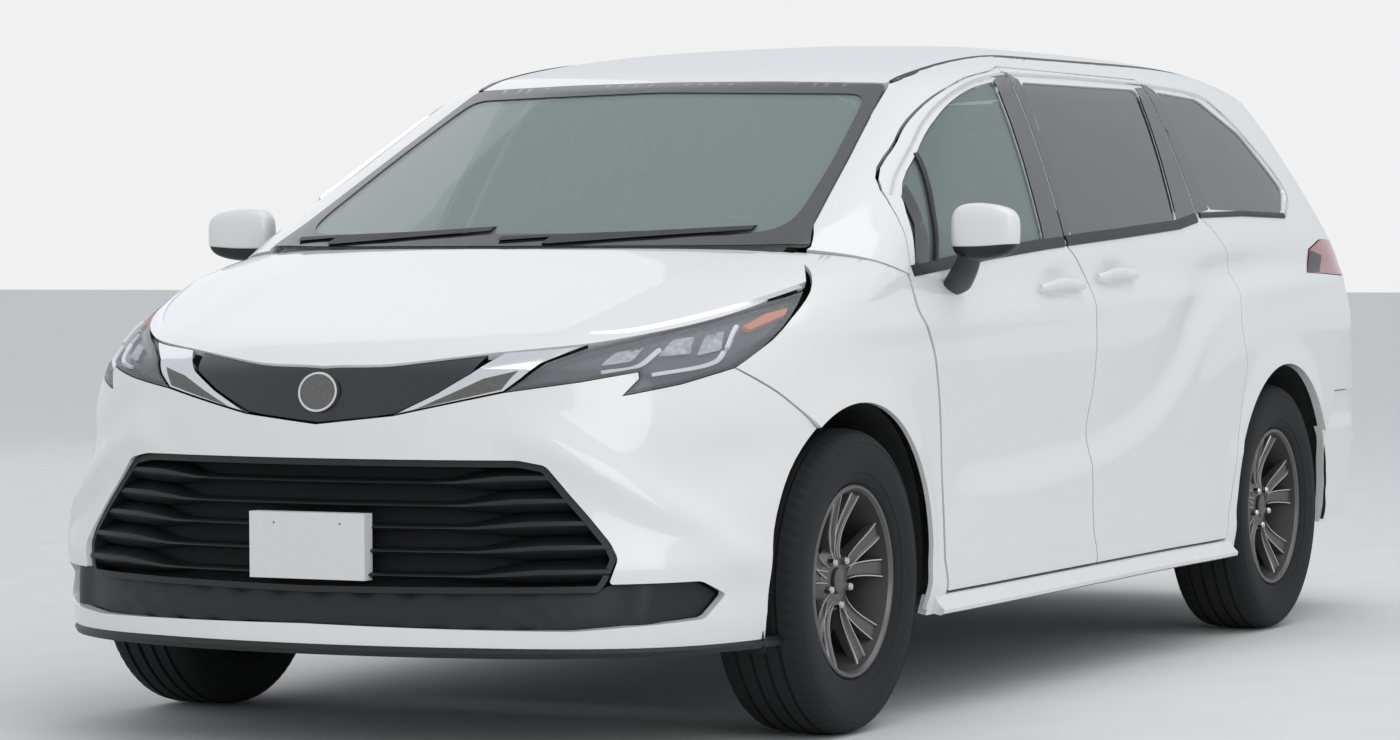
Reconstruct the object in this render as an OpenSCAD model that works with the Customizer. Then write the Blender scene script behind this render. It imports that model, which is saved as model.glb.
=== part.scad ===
// Minivan: body shell in real panels, cabin, running gear and its moving parts.
// +X points forward, +Y to the left side, +Z up. The origin is on the ground
// under the middle of the vehicle. All sizes are millimetres.

/* [Overall] */
// Distance between the front and the rear axle
wheelbase = 3061; // [2900:1:3700]
// From the front axle to the nose
front_overhang = 975; // [940:1:1150]
// From the rear axle to the tail
rear_overhang = 1138; // [1080:1:1350]
// Width over the body sides, without mirrors
body_width = 1970; // [1800:2:2360]
// Height of the roof above the ground
body_height = 1740; // [1700:1:2050]
// Height of the lower edge of the side sills
sill_height = 250; // [220:1:280]

/* [Wheels] */
// Outer diameter of a tyre
tyre_diameter = 737; // [660:1:760]
// Width of a tyre across its sidewalls
tyre_width = 235; // [195:1:245]
// Diameter of the wheel's outer flange
rim_diameter = 466; // [380:1:500]
// Distance between the middles of left and right tyres
track = 1725; // [1650:1:1735]
// Radius of the wheel arches in the body sides
arch_radius = 432; // [415:1:440]
// Outer radius of the hub's spindle
spindle_radius = 30; // [22:1:36]

/* [Panels] */
// Thickness of a door or a side wall
wall = 70; // [55:1:80]
// Thickness of the thin panels: bonnet, wings and roof
sheet = 28; // [20:1:32]
// Thickness of the window glass
pane = 6; // [4:0.5:8]
// Shut gap between neighbouring panels
shut_gap = 8; // [7:0.5:12]
// Distance that one fitted piece keeps from another
seat_gap = 0.3; // [0.2:0.05:0.5]

/* [Motion] */
// Radius of a door's hinge pin
pin_radius = 5; // [4:0.5:6]
// Free space round a hinge pin
pin_gap = 0.15; // [0.1:0.05:0.3]

/* [Cabin] */
// Height of the cabin floor above the sills' lower edge
floor_rise = 42; // [34:1:44]
// Thickness of the floor
floor_t = 30; // [20:1:32]
// Width of one front seat's cushion
seat_width = 520; // [460:1:540]
// Depth of one seat's cushion
seat_depth = 500; // [440:1:520]
// Height of a seat cushion's top above the floor
seat_height = 360; // [320:1:380]
// Diameter of the steering wheel
steering_wheel_diameter = 376; // [340:1:400]
// Lean of the steering column from level
column_lean = 24; // [15:1:35]

/* [Mounts] */
// Spacing of the two number plate bolts
plate_bolt_spacing = 178; // [150:1:300]
// Radius of a number plate bolt hole
plate_bolt_radius = 3; // [2:0.5:4]
// Side of a square jacking pad
jack_pad = 60; // [40:1:80]

/* [Hidden] */

body_length = front_overhang + wheelbase + rear_overhang;
nose_x = body_length / 2;
tail_x = -body_length / 2;
fx = nose_x - front_overhang;            // front axle
rx = fx - wheelbase;                     // rear axle
mid_x = (fx + rx) / 2 - 551;             // widest place of the body in plan
side_y = body_width / 2;                 // outermost skin
tyre_r = tyre_diameter / 2;
rim_r = rim_diameter / 2;
axle_z = tyre_r;
half_gap = shut_gap / 2;
floor_top = sill_height + floor_rise;
far = 3200;                              // longer than any cut needs
cut_start = 300;                         // side cutters start this far from the middle

// Lower body, one row per height: height above the sill, how far the nose and the tail
// stand back, how far the side stands in, and how square the front corners are.
lower_rows = [
    [0, 0, 47, 30, 13], [150, 25, 3, 12, 14], [350, 55, 0, 5, 13], [530, 75, 42, 0, 11],
    [650, 95, 49, 1, 9.5], [710, 197, 55, 5, 10], [790, 492, 69, 17, 14],
    [860, 752, 80, 40, 17.5], [910, 937, 104, 77, 14.6], [925, 997, 109, 105, 13]
];
// Cabin, one row per height: share of the way from the belt to the roof, how far the
// windscreen and the tail stand back, how far the side stands in, and both squarenesses.
belt_z = 1100;
upper_rows = [
    [0, 847, 82, 28, 16, 15], [0.156, 1059, 132, 54, 17, 14],
    [0.3125, 1272, 187, 93, 17, 13], [0.469, 1482, 247, 135, 17, 12],
    [0.625, 1692, 297, 182, 17, 11], [0.781, 1902, 375, 235, 17, 10],
    [0.875, 2187, 537, 295, 12, 8], [0.945, 2542, 917, 400, 7, 6],
    [1, 2987, 1887, 865, 2.5, 2.5]
];
lower = [for (r = lower_rows)
    [sill_height + r[0], nose_x - r[1], tail_x + r[2], side_y - r[3], r[4], 15]];
upper = [for (r = upper_rows)
    [belt_z + r[0] * (body_height - belt_z), nose_x - r[1], tail_x + r[2], side_y - r[3],
     r[4], r[5]]];

corner_turn = 60;                        // corner arc of a plan outline, in degrees
corner_steps = 5;
side_steps = 3;

// Quarter of a plan outline, a superellipse from its end on the middle line to its widest
// place: x^n + y^2 = 1, with close points round the corner and even ones along the side.
function quarter(n) = concat(
    [for (i = [0 : corner_steps])
        let (t = corner_turn * i / corner_steps) [pow(cos(t), 2 / n), sin(t)]],
    [for (i = [1 : side_steps])
        let (u = pow(cos(corner_turn), 2 / n) * (1 - i / side_steps))
            [u, sqrt(1 - pow(u, n))]]);
function reversed(v) = [for (i = [len(v) - 1 : -1 : 0]) v[i]];
function left_half(s, inset) =
    let (front = quarter(s[4]), back = quarter(s[5]), w = s[3] - inset)
    concat(
        [for (p = front) [mid_x + (s[1] - inset - mid_x) * p[0], w * p[1]]],
        [for (i = [len(back) - 2 : -1 : 0])
            [mid_x - (mid_x - s[2] - inset) * back[i][0], w * back[i][1]]]);
function plan_ring(s, inset, drop) =
    let (half = left_half(s, inset), n = len(half))
    concat([for (p = half) [p[0], p[1], s[0] - drop]],
           [for (i = [n - 2 : -1 : 1]) [half[i][0], -half[i][1], s[0] - drop]]);

// Solid stacked from plan outlines
module stack(rows, inset = 0, drop = 0, foot = 0) {
    rings = concat(
        foot > 0 ? [plan_ring(rows[0], inset, foot)] : [],
        [for (s = rows) plan_ring(s, inset, drop)]);
    n = len(rings[0]);
    m = len(rings);
    points = [for (ring = rings) each ring];
    polyhedron(points, concat(
        [[for (j = [0 : n - 1]) j]],
        [for (i = [0 : m - 2]) each [for (j = [0 : n - 1]) each
            [[i * n + j, (i + 1) * n + (j + 1) % n, i * n + (j + 1) % n],
             [i * n + j, (i + 1) * n + j, (i + 1) * n + (j + 1) % n]]]],
        [reversed([for (j = [0 : n - 1]) (m - 1) * n + j])]));
}

// Whole outside of the body, drawn in by an inset and lowered by a drop
module body_form(inset = 0, drop = 0, foot = 0) {
    stack(lower, inset, drop, foot);
    stack(upper, inset, drop);
}
// Wall of the body between two depths
module body_wall(outer, inner, drop_inner) {
    difference() {
        body_form(outer, outer > 0 ? outer : 0);
        body_form(inner, drop_inner, 120);
    }
}
// Joins all that it holds into one facetted solid
module one_shell() { resize([0, 0, 0]) children(); }

// Prism that cuts along Y, X or Z; its outline is drawn as seen from that side
module along_y(points, y0 = cut_start, y1 = 1400, grow = 0) {
    translate([0, y1, 0]) rotate([90, 0, 0]) linear_extrude(y1 - y0)
        offset(delta = grow) polygon(points);
}
module along_x(points, x0, x1, grow = 0) {
    translate([x0, 0, 0]) rotate([90, 0, 90]) linear_extrude(x1 - x0)
        offset(delta = grow) polygon(points);
}
module along_z(points, z0 = 0, z1 = 2400, grow = 0) {
    translate([0, 0, z0]) linear_extrude(z1 - z0) offset(delta = grow) polygon(points);
}
module both_sides() { children(); mirror([0, 1, 0]) children(); }
module on_left(left) { if (left) children(); else mirror([0, 1, 0]) children(); }
// Outline completed on the other side of the middle line
function two_sided(half) = concat(half, [for (p = reversed(half)) [-p[0], p[1]]]);
function two_sided_plan(half) = concat(half, [for (p = reversed(half)) [p[0], -p[1]]]);

// ---- outlines of the panels, seen from the side: [x, z] ----
roof_k = (body_height - belt_z) / 640;   // stretches the window heights with the roof
function up(z) = belt_z + (z - 1100) * roof_k;
door_foot = sill_height + 52;
door_split = fx - 1512;                  // between the front door and the sliding door
front_door_edge = [[fx - 540, door_foot], [fx - 476, 745], [fx - 443, 913],
    [fx - 370, 1014], [fx - 372, up(1104)], [fx - 498, up(1312)]];
split_edge = [[door_split - 21, up(1655)], [door_split + 88, up(1172)],
    [door_split + 10, 1110], [door_split - 45, 1017], [door_split - 30, 882],
    [door_split, 738], [door_split - 50, door_foot]];
front_door = concat(front_door_edge, [[fx - 730, up(1441)], [fx - 885, up(1515)],
    [fx - 1045, up(1574)], [fx - 1217, up(1614)], [fx - 1453, up(1642)]], split_edge);
slide_edge = [[rx + 500, door_foot], [rx + 444, 499], [rx + 332, 809],
    [rx + 358, 938], [rx + 345, 1110], [rx + 452, up(1215)], [rx + 540, up(1250)],
    [rx + 500, up(1645)]];
sliding_door = concat(reversed(split_edge), reversed(slide_edge));
front_window = [[fx - 408, up(1118)], [fx - 532, up(1294)], [fx - 741, up(1411)],
    [fx - 894, up(1485)], [fx - 1050, up(1544)], [fx - 1220, up(1584)],
    [fx - 1408, up(1606)], [fx - 1280, up(1178)]];
slide_window = [[door_split - 79, up(1612)], [door_split + 42, up(1190)],
    [rx + 724, up(1226)], [rx + 576, up(1612)]];
quarter_window = [[rx + 425, up(1262)], [rx + 430, up(1610)], [rx + 103, up(1594)],
    [rx - 131, up(1490)], [rx - 313, up(1323)], [rx - 223, up(1252)]];
fender_region = [[fx - 700, 150], [fx + 208, 150], [fx + 208, 735], [fx + 506, 902],
    [fx + 560, 960], [fx + 60, 1200], [fx - 380, 1200], [fx - 700, 1000]];
lamp_region = [[fx + 84, 1064], [fx + 300, 975], [fx + 515, 868], [fx + 676, 834],
    [fx + 700, 868], [fx + 815, 868], [fx + 815, 1000], [fx + 40, 1110]];
tail_lamp_region = [[tail_x - 40, 1172], [tail_x + 420, 1150], [tail_x + 828, 1075],
    [tail_x + 500, 1060], [tail_x + 160, 1052], [tail_x - 40, 1040]];
rear_bumper_region = [[tail_x - 60, 640], [tail_x + 260, 700], [tail_x + 650, 700],
    [tail_x + 720, 560], [tail_x + 780, 100], [tail_x - 60, 100]];
// seen from above: [x, y]
hood_half = [[nose_x - 105, 0], [nose_x - 128, 200], [nose_x - 215, 431],
    [nose_x - 330, 600], [nose_x - 480, 730], [nose_x - 690, 815], [nose_x - 916, 868],
    [nose_x - 1098, 775], [nose_x - 1085, 700], [nose_x - 1035, 500], [nose_x - 1000, 250],
    [nose_x - 985, 0]];
roof_half = [[nose_x - 1900, 0], [nose_x - 1940, 640], [nose_x - 2400, 640],
    [tail_x + 900, 640], [tail_x + 480, 600], [tail_x + 480, 0]];
// seen from the front: [y, z]
screen_foot = belt_z + 72;
screen_half = [[0, screen_foot], [775, screen_foot], [740, up(1225)], [690, up(1378)],
    [640, up(1521)], [616, up(1594)], [300, up(1604)], [0, up(1607)]];
nose_trim_half = [[0, 772], [200, 790], [330, 850], [445, 915], [445, 1000], [0, 1000]];
grille_half = [[0, 392], [715, 400], [745, 470], [600, 700], [0, 690]];
slot_half = [[0, 318], [640, 310], [905, 330], [925, 372], [890, 388], [640, 378], [0, 372]];
gate_half = [[0, 640], [560, 640], [610, 760], [735, 1000], [752, 1180], [690, up(1560)],
    [600, up(1690)], [0, up(1720)]];
gate_window_half = [[0, up(1215)], [640, up(1215)], [610, up(1420)], [570, up(1530)],
    [0, up(1548)]];
// the gate's own upper corners, clear of the body when it swings up
gate_corner_half = [[0, 600], [900, 600], [900, up(1380)], [680, up(1500)], [662, up(1560)],
    [566, up(1700)], [0, up(1760)]];

module arch(x, r, y0, y1) {
    translate([x, y0, axle_z]) rotate([-90, 0, 0]) cylinder(r = r, h = y1 - y0, $fn = 40);
}
module arches(r, y0) {
    both_sides() for (x = [fx, rx]) {
        arch(x, r, y0, 1300);
        translate([x - r, y0, -10]) cube([2 * r, 1300 - y0, axle_z + 10]);
    }
}
// Space that the inner arches take up
liner_y = 530;
liner_r = arch_radius + 6;
front_liner_y = side_y - 62;
rear_liner_y = side_y - wall - 24;
module liner_space() both_sides() for (w = [[fx, front_liner_y], [rx, rear_liner_y]])
    difference() {
        arch(w[0], (liner_r + 4 + seat_gap) / cos(4.5), liner_y - seat_gap, w[1] + seat_gap);
        translate([w[0] - 600, 0, -300]) cube([1200, 1200, 530 - seat_gap]);
    }

// ---- hinge places ----
door_hinge_x = fx - 547;
door_hinge_y = side_y - 22;
door_hinge_z = [560, 850];
hinge_half = 34;                         // half height of a door hinge
leaf_t = 12;
barrel_r = pin_radius + 3;
arm_half = 12;
hood_hinge_x = fx - 142;
hood_hinge_y = 740;
hood_hinge_z = 1150;
gate_hinge_x = tail_x + 560;
gate_hinge_y = 430;
gate_hinge_z = up(1621);

// ---- body panels ----
module hood_cut(grow) along_z(two_sided_plan(hood_half), 700, 1400, grow);
module lamp_cut(grow) both_sides() along_y(lamp_region, 250, 1300, grow);
module nose_cut(grow) along_x(two_sided(nose_trim_half), nose_x - 420, nose_x + 50, grow);
module lid_pocket() translate([hood_hinge_x - 100, 0, 900])
    cube([500, hood_hinge_y + 22, screen_foot - 900]);
module screen_cut(grow) along_x(two_sided(screen_half), fx - 1200, fx + 100, grow);
module gate_cut(grow)
    along_x(two_sided(gate_half), tail_x - 60, gate_hinge_x - 64 + grow, grow);
module roof_cut(grow) along_z(two_sided_plan(roof_half), up(1500), 2400, grow);
module tail_lamp_cut(grow) both_sides() along_y(tail_lamp_region, 520, 1300, grow);
module rear_bumper_cut(grow)
    along_y(rear_bumper_region, -1300, 1300, grow);

module fender_cut() difference() {
    both_sides() along_y(fender_region, 500, 1300, -seat_gap);
    both_sides() along_y(front_door, 400, 1400, half_gap);
    hood_cut(half_gap);
    lamp_cut(0);
}
module front_fenders() color("white") both_sides() one_shell() difference() {
    intersection() {
        body_wall(0, sheet, sheet);
        fender_cut();
        translate([0, 0, door_foot]) cube([far, far, 900]);
    }
    arch(fx, arch_radius, 0, 1300);
    translate([fx - arch_radius, 0, 0]) cube([2 * arch_radius, 1300, axle_z]);
    stack(upper, -seat_gap);
    lid_pocket();
    liner_space();
}
module hood() color("white") one_shell() difference() {
    intersection() {
        body_wall(0, 3, sheet);
        hood_cut(-half_gap);
    }
    stack(upper, -shut_gap - 6, -shut_gap, 10);
    both_sides() hood_arm(seat_gap);
}
module front_bumper() color("white") one_shell() difference() {
    intersection() {
        body_wall(0, wall, sheet);
        along_y([[fx + 208, 150], [fx + 208, 735], [fx + 506, 902], [fx + 560, 960],
            [nose_x + 100, 960], [nose_x + 100, 150]], -1300, 1300);
    }
    hood_cut(half_gap);
    lamp_cut(0);
    nose_cut(0);
    arches(arch_radius, 300);
    along_x(two_sided(grille_half), nose_x - 420, nose_x + 50);
    along_x(two_sided(slot_half), nose_x - 380, nose_x + 50);
    liner_space();
}
// Bars of the lower grille and their frame, with a flat seat for the plate's bracket
grille_bars = 6;
plate_z = 492;
module front_grille() color("#15171a") one_shell() difference() {
    intersection() {
        body_wall(12, 45, sheet);
        union() {
            along_x(two_sided(slot_half), nose_x - 380, nose_x + 50, -seat_gap);
            intersection() {
                along_x(two_sided(grille_half), nose_x - 420, nose_x + 50, -seat_gap);
                union() {
                    difference() {
                        along_x(two_sided(grille_half), nose_x - 420, nose_x + 50, 10);
                        along_x(two_sided(grille_half), nose_x - 430, nose_x + 60, -16);
                    }
                    for (i = [1 : grille_bars])
                        translate([nose_x - 500, -800, 384 + i * 298 / (grille_bars + 1)])
                            cube([500, 1600, 16]);
                    for (y = [-300, 0, 300])
                        translate([nose_x - 500, y - 10, 380]) cube([500, 20, 330]);
                }
            }
        }
    }
    translate([nose_x - 66, -155.3, plate_z - 77.3]) cube([100, 310.6, 154.6]);
    liner_space();
}
module nose_trim() color("#101214") one_shell() difference() {
    intersection() {
        body_wall(0, 45, 45);
        nose_cut(-seat_gap);
    }
    hood_cut(half_gap);
    lamp_cut(0);
}
module headlamps() color("#2a2d31") one_shell() difference() {
    intersection() {
        body_wall(0, wall, wall);
        lamp_cut(-seat_gap);
    }
    hood_cut(half_gap);
    nose_cut(seat_gap);
}

module windshield() color("#8fb5a8") one_shell() intersection() {
    difference() {
        stack(upper, 0);
        stack(upper, 12, 5);
    }
    screen_cut(-seat_gap);
}
module cowl() color("#1b1d20") one_shell() intersection() {
    difference() {
        stack(upper, 0);
        stack(upper, 30, 20, 40);
    }
    translate([fx - 330, 18 - hood_hinge_y, belt_z])
        cube([600, 2 * hood_hinge_y - 36, screen_foot - seat_gap - belt_z]);
}
module roof() color("white") one_shell() difference() {
    intersection() {
        body_wall(0, sheet, sheet);
        roof_cut(-seat_gap);
    }
    screen_cut(0);
    gate_cut(half_gap + 4);
    both_sides() translate([gate_hinge_x - 80, gate_hinge_y - 40, 1300])
        cube([130, 80, gate_hinge_z + 14 - 1300]);
}
module side_region_cut() along_y([[fx - 380, 200], [fx - 380, door_foot - seat_gap],
    [fx - 700, door_foot - seat_gap], [fx - 700, 1000], [fx - 378, 1014],
    [fx - 378, belt_z], [fx - 120, belt_z], [fx - 120, belt_z + 90],
    [fx - 1100, up(1760)], [tail_x - 20, up(1760)], [tail_x - 20, 200]], 300, 1400);
module body_side(left) color("white") on_left(left) one_shell() difference() {
    intersection() {
        body_wall(0, wall, sheet);
        side_region_cut();
    }
    along_y(front_door, 300, 1400, half_gap);
    along_y(sliding_door, 300, 1400, half_gap);
    along_y(quarter_window);
    difference() {
        translate([fx - 378, 300, belt_z - 10]) cube([500, 1000, 200]);
        stack(upper, 0);
    }
    along_y([for (p = fender_region) [p[0], min(p[1], belt_z)]]);
    lid_pocket();
    hood_cut(half_gap);
    screen_cut(0);
    roof_cut(0);
    gate_cut(half_gap + 6);
    tail_lamp_cut(0);
    rear_bumper_cut(0);
    arches(arch_radius, 600);
    liner_space();
    translate([rx, 300, sill_height + floor_rise - floor_t - seat_gap])
        cube([wheelbase, side_y - 365 + seat_gap, floor_t + 2 * seat_gap]);
}
// Inner posts that the doors close against
post_depth = 40;
module door_pillars() color("#d8d9d6") {
    one_shell() both_sides() intersection() {
        difference() {
            body_form(wall + 0.8, sheet);
            body_form(wall + post_depth, sheet, 200);
        }
        union() {
            along_y([[door_split - 95, floor_top], [door_split - 45, floor_top],
                [door_split - 110, up(1560)], [door_split - 160, up(1560)]]);
            along_y([[rx + 520, floor_top], [rx + 580, floor_top],
                [rx + 580, up(1560)], [rx + 520, up(1560)]]);
        }
    }
    both_sides() translate([door_hinge_x - 70, door_hinge_y - 183, floor_top])
        cube([56, 105, 1000 - floor_top]);
}
// Half width of the lower body at a height
function skin_y(z) = lookup(z, [for (r = lower) [r[0], r[3]]]);
module hinge_pockets(x_low, x_high, depth) for (z = door_hinge_z)
    translate([x_low, 500, z - hinge_half - 8])
        cube([x_high - x_low, skin_y(z) - depth - 500, 2 * hinge_half + 16]);
// Space inboard of the door's thin front flange
flange = 32;
module flange_space() along_x([[500, 200], [skin_y(sill_height) - flange, 200],
    [skin_y(sill_height) - flange, sill_height], [side_y - flange - 6, 480],
    [side_y - flange, 780], [side_y - flange - 10, 950], [side_y - flange - 44, 1080],
    [side_y - flange - 93, up(1300)], [side_y - flange - 135, up(1400)],
    [500, up(1400)]], door_hinge_x - 22, door_hinge_x + 300);
module front_door_panel(left) color("white") on_left(left) one_shell() difference() {
    intersection() {
        body_wall(0, wall, sheet);
        along_y(front_door, 300, 1400, -half_gap);
    }
    along_y(front_window);
    flange_space();
    intersection() {
        body_form(12, 12);
        along_y(sliding_door, 300, 1400, 26);
    }
    screen_cut(half_gap);
    roof_cut(half_gap);
    hinge_pockets(door_hinge_x - 22, door_hinge_x + 200, 6);
    for (z = door_hinge_z) translate([door_hinge_x - 70 - seat_gap, door_hinge_y - 10 - seat_gap,
        z - hinge_half - seat_gap])
        cube([80, leaf_t + 2 * seat_gap, 2 * hinge_half + 2 * seat_gap]);
}
module sliding_doors() color("white") both_sides() one_shell() difference() {
    intersection() {
        body_wall(0, wall, sheet);
        along_y(sliding_door, 300, 1400, -half_gap);
    }
    along_y(slide_window);
    roof_cut(half_gap);
}
module side_pane(outline) one_shell() difference() {
    intersection() {
        body_wall(4, 4 + pane, 4 + pane);
        along_y(outline, 300, 1400, -seat_gap);
    }
    screen_cut(half_gap + seat_gap);
}
module front_door_pane(left) color("#8fb5a8") on_left(left) side_pane(front_window);
module rear_side_glass() color("#22262b") both_sides() {
    side_pane(slide_window);
    side_pane(quarter_window);
}
module liftgate() color("white") one_shell() difference() {
    intersection() {
        body_wall(0, wall, sheet);
        gate_cut(-half_gap);
        along_x(two_sided(gate_corner_half), tail_x - 60, gate_hinge_x);
    }
    along_x(two_sided(gate_window_half), tail_x - 60, gate_hinge_x);
    tail_lamp_cut(0);
    rear_bumper_cut(half_gap);
    both_sides() gate_arm(seat_gap);
    intersection() {
        body_form(10, 10);
        translate([gate_hinge_x - 130, -900, up(1500)]) cube([300, 1800, 400]);
    }
}
module liftgate_glass() color("#22262b") one_shell() intersection() {
    body_wall(4, 16, 10);
    along_x(two_sided(gate_window_half), tail_x - 60, gate_hinge_x - 72, -seat_gap);
}
module rear_bumper() color("white") one_shell() difference() {
    intersection() {
        body_wall(0, wall, sheet);
        rear_bumper_cut(-seat_gap);
        translate([tail_x - 50, -1200, 305]) cube([1200, 2400, 500]);
    }
    gate_cut(half_gap);
    arches(arch_radius, 300);
    liner_space();
}
module tail_lamps() color("#7a1518") one_shell() difference() {
    intersection() {
        body_wall(0, 50, 50);
        tail_lamp_cut(-seat_gap);
    }
    gate_cut(half_gap + 1);
}
module liftgate_lamps() color("#7a1518") one_shell() intersection() {
    body_wall(0, 50, 50);
    tail_lamp_cut(-seat_gap);
    gate_cut(-half_gap);
}
// Mirror: housing beyond the door's waist, on a short arm
mirror_x = fx - 500;
mirror_y = side_y + 15;
mirror_z = 1206;
module door_mirror(left) color("white") on_left(left) {
    hull() {
        translate([mirror_x + 10, mirror_y + 34, mirror_z]) scale([0.6, 0.5, 1])
            sphere(r = 62, $fn = 24);
        translate([mirror_x, mirror_y + 142, mirror_z + 2]) scale([0.6, 0.5, 1])
            sphere(r = 60, $fn = 24);
        translate([mirror_x - 38, mirror_y + 4, mirror_z - 62]) cube([6, 166, 126]);
    }
    one_shell() difference() {
        hull() {
            translate([mirror_x - 140, mirror_y - 110, 1036]) cube([70, 30, 56]);
            translate([mirror_x - 36, mirror_y + 10, mirror_z - 88])
                cube([50, 70, 26 - seat_gap]);
        }
        body_form(-seat_gap, -seat_gap);
    }
}
// Fixed brackets and pins of the doors' hinges
module door_brackets() both_sides() for (z = door_hinge_z) {
    translate([door_hinge_x - 60, door_hinge_y - 78, z - 30]) cube([68, 11, 60]);
    translate([door_hinge_x - 8, door_hinge_y - 67, z - arm_half + 0.3])
        cube([16, 67, 2 * arm_half - 0.6]);
    translate([door_hinge_x, door_hinge_y, z - arm_half + 0.3])
        cylinder(r = barrel_r - 1, h = 2 * arm_half - 0.6, $fn = 32);
    translate([door_hinge_x, door_hinge_y, z - hinge_half])
        cylinder(r = pin_radius, h = 2 * hinge_half, $fn = 32);
}
// Leaf bolted into the door, with a barrel over and under the fixed arm
module door_hinges(left) color("#6d7072") on_left(left) for (z = door_hinge_z) difference() {
    union() {
        translate([door_hinge_x - 70, door_hinge_y - 10, z - hinge_half])
            cube([70 - barrel_r - 1, leaf_t, 2 * hinge_half]);
        for (low = [-hinge_half, arm_half]) translate([door_hinge_x, door_hinge_y, z + low]) {
            cylinder(r = barrel_r, h = hinge_half - arm_half, $fn = 32);
            translate([-barrel_r - 4, -5, 0]) cube([barrel_r + 4, 7, hinge_half - arm_half]);
        }
    }
    translate([door_hinge_x, door_hinge_y, z - hinge_half - 1])
        cylinder(r = pin_radius + pin_gap, h = 2 * hinge_half + 2, $fn = 32);
}

// Arms of the bonnet's hinges, fitted into slots in the bonnet
module hood_arm(grow) translate([hood_hinge_x, hood_hinge_y + leaf_t / 4 + grow, hood_hinge_z])
    rotate([90, 0, 0]) linear_extrude(leaf_t / 2 + 2 * grow) offset(delta = grow)
        polygon([[-4, -8], [0, 8], [30, 0], [60, -14], [120, -24], [205, -33], [205, -56],
            [120, -52], [60, -40], [20, -24]]);
module hood_hinges() color("#6d7072") both_sides() difference() {
    union() {
        translate([hood_hinge_x, hood_hinge_y + leaf_t / 2, hood_hinge_z]) rotate([90, 0, 0])
            cylinder(r = barrel_r, h = leaf_t, $fn = 32);
        hood_arm(0);
    }
    translate([hood_hinge_x, hood_hinge_y + 20, hood_hinge_z]) rotate([90, 0, 0])
        cylinder(r = pin_radius + pin_gap, h = 40, $fn = 32);
}
// Swan-neck arms of the tailgate's hinges
module gate_arm(grow)
    translate([gate_hinge_x, gate_hinge_y + leaf_t / 2 + grow, gate_hinge_z]) rotate([90, 0, 0])
        linear_extrude(leaf_t + 2 * grow) offset(delta = grow) polygon([[8, 0], [8, -56],
            [-40, -64], [-90, -70], [-125, -72], [-125, -56], [-90, -54], [-40, -48],
            [-8, -40], [-8, 0]]);
module liftgate_hinges() color("#6d7072") both_sides() difference() {
    union() {
        translate([gate_hinge_x, gate_hinge_y + leaf_t / 2, gate_hinge_z]) rotate([90, 0, 0])
            cylinder(r = barrel_r, h = leaf_t, $fn = 32);
        gate_arm(0);
    }
    translate([gate_hinge_x, gate_hinge_y + 20, gate_hinge_z]) rotate([90, 0, 0])
        cylinder(r = pin_radius + pin_gap, h = 40, $fn = 32);
}
// Fixed brackets and pins of the bonnet and the tailgate
beam_top = 970;
module hinge_brackets() color("#6d7072") {
    door_brackets();
    both_sides() {
        translate([hood_hinge_x - 12, hood_hinge_y + leaf_t / 2 + 2, beam_top])
            cube([24, 8, hood_hinge_z + 8 - beam_top]);
        translate([hood_hinge_x, hood_hinge_y + leaf_t / 2 + 6, hood_hinge_z])
            rotate([90, 0, 0]) cylinder(r = pin_radius, h = leaf_t + 8, $fn = 32);
        translate([gate_hinge_x + 14, gate_hinge_y - 30, gate_hinge_z - 20])
            cube([24, 60, 34 - seat_gap]);
        translate([gate_hinge_x - 9, gate_hinge_y + leaf_t / 2 + 2, gate_hinge_z - 9])
            cube([30, 8, 18]);
        translate([gate_hinge_x, gate_hinge_y + leaf_t / 2 + 6, gate_hinge_z])
            rotate([90, 0, 0]) cylinder(r = pin_radius, h = leaf_t + 8, $fn = 32);
    }
}

// ---- running gear ----
module at_wheel(x, left) on_left(left)
    translate([x, track / 2, axle_z]) rotate([-90, 0, 0]) children();
bead_r = rim_r - 11;
module tyre(x, left) color("#1a1b1c") at_wheel(x, left) rotate_extrude($fn = 72)
    polygon(let (h = tyre_width / 2, b = bead_r + seat_gap) [
        [b, 88], [b + 12, 88], [b + 26, h - 16], [b + 66, h - 3], [b + 104, h], [tyre_r - 20, h - 12],
        [tyre_r - 6, h - 26], [tyre_r, h - 46], [tyre_r, 46 - h], [tyre_r - 6, 26 - h],
        [tyre_r - 20, 12 - h], [b + 104, -h], [b + 66, 3 - h], [b + 26, 16 - h], [b + 12, -88], [b, -88],
        [b, -74], [b + 30, -86], [b + 70, -100], [tyre_r - 24, -96], [tyre_r - 18, -80],
        [tyre_r - 18, 80], [tyre_r - 24, 96], [b + 70, 100], [b + 30, 86], [b, 74]]);
spokes = 10;
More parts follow.
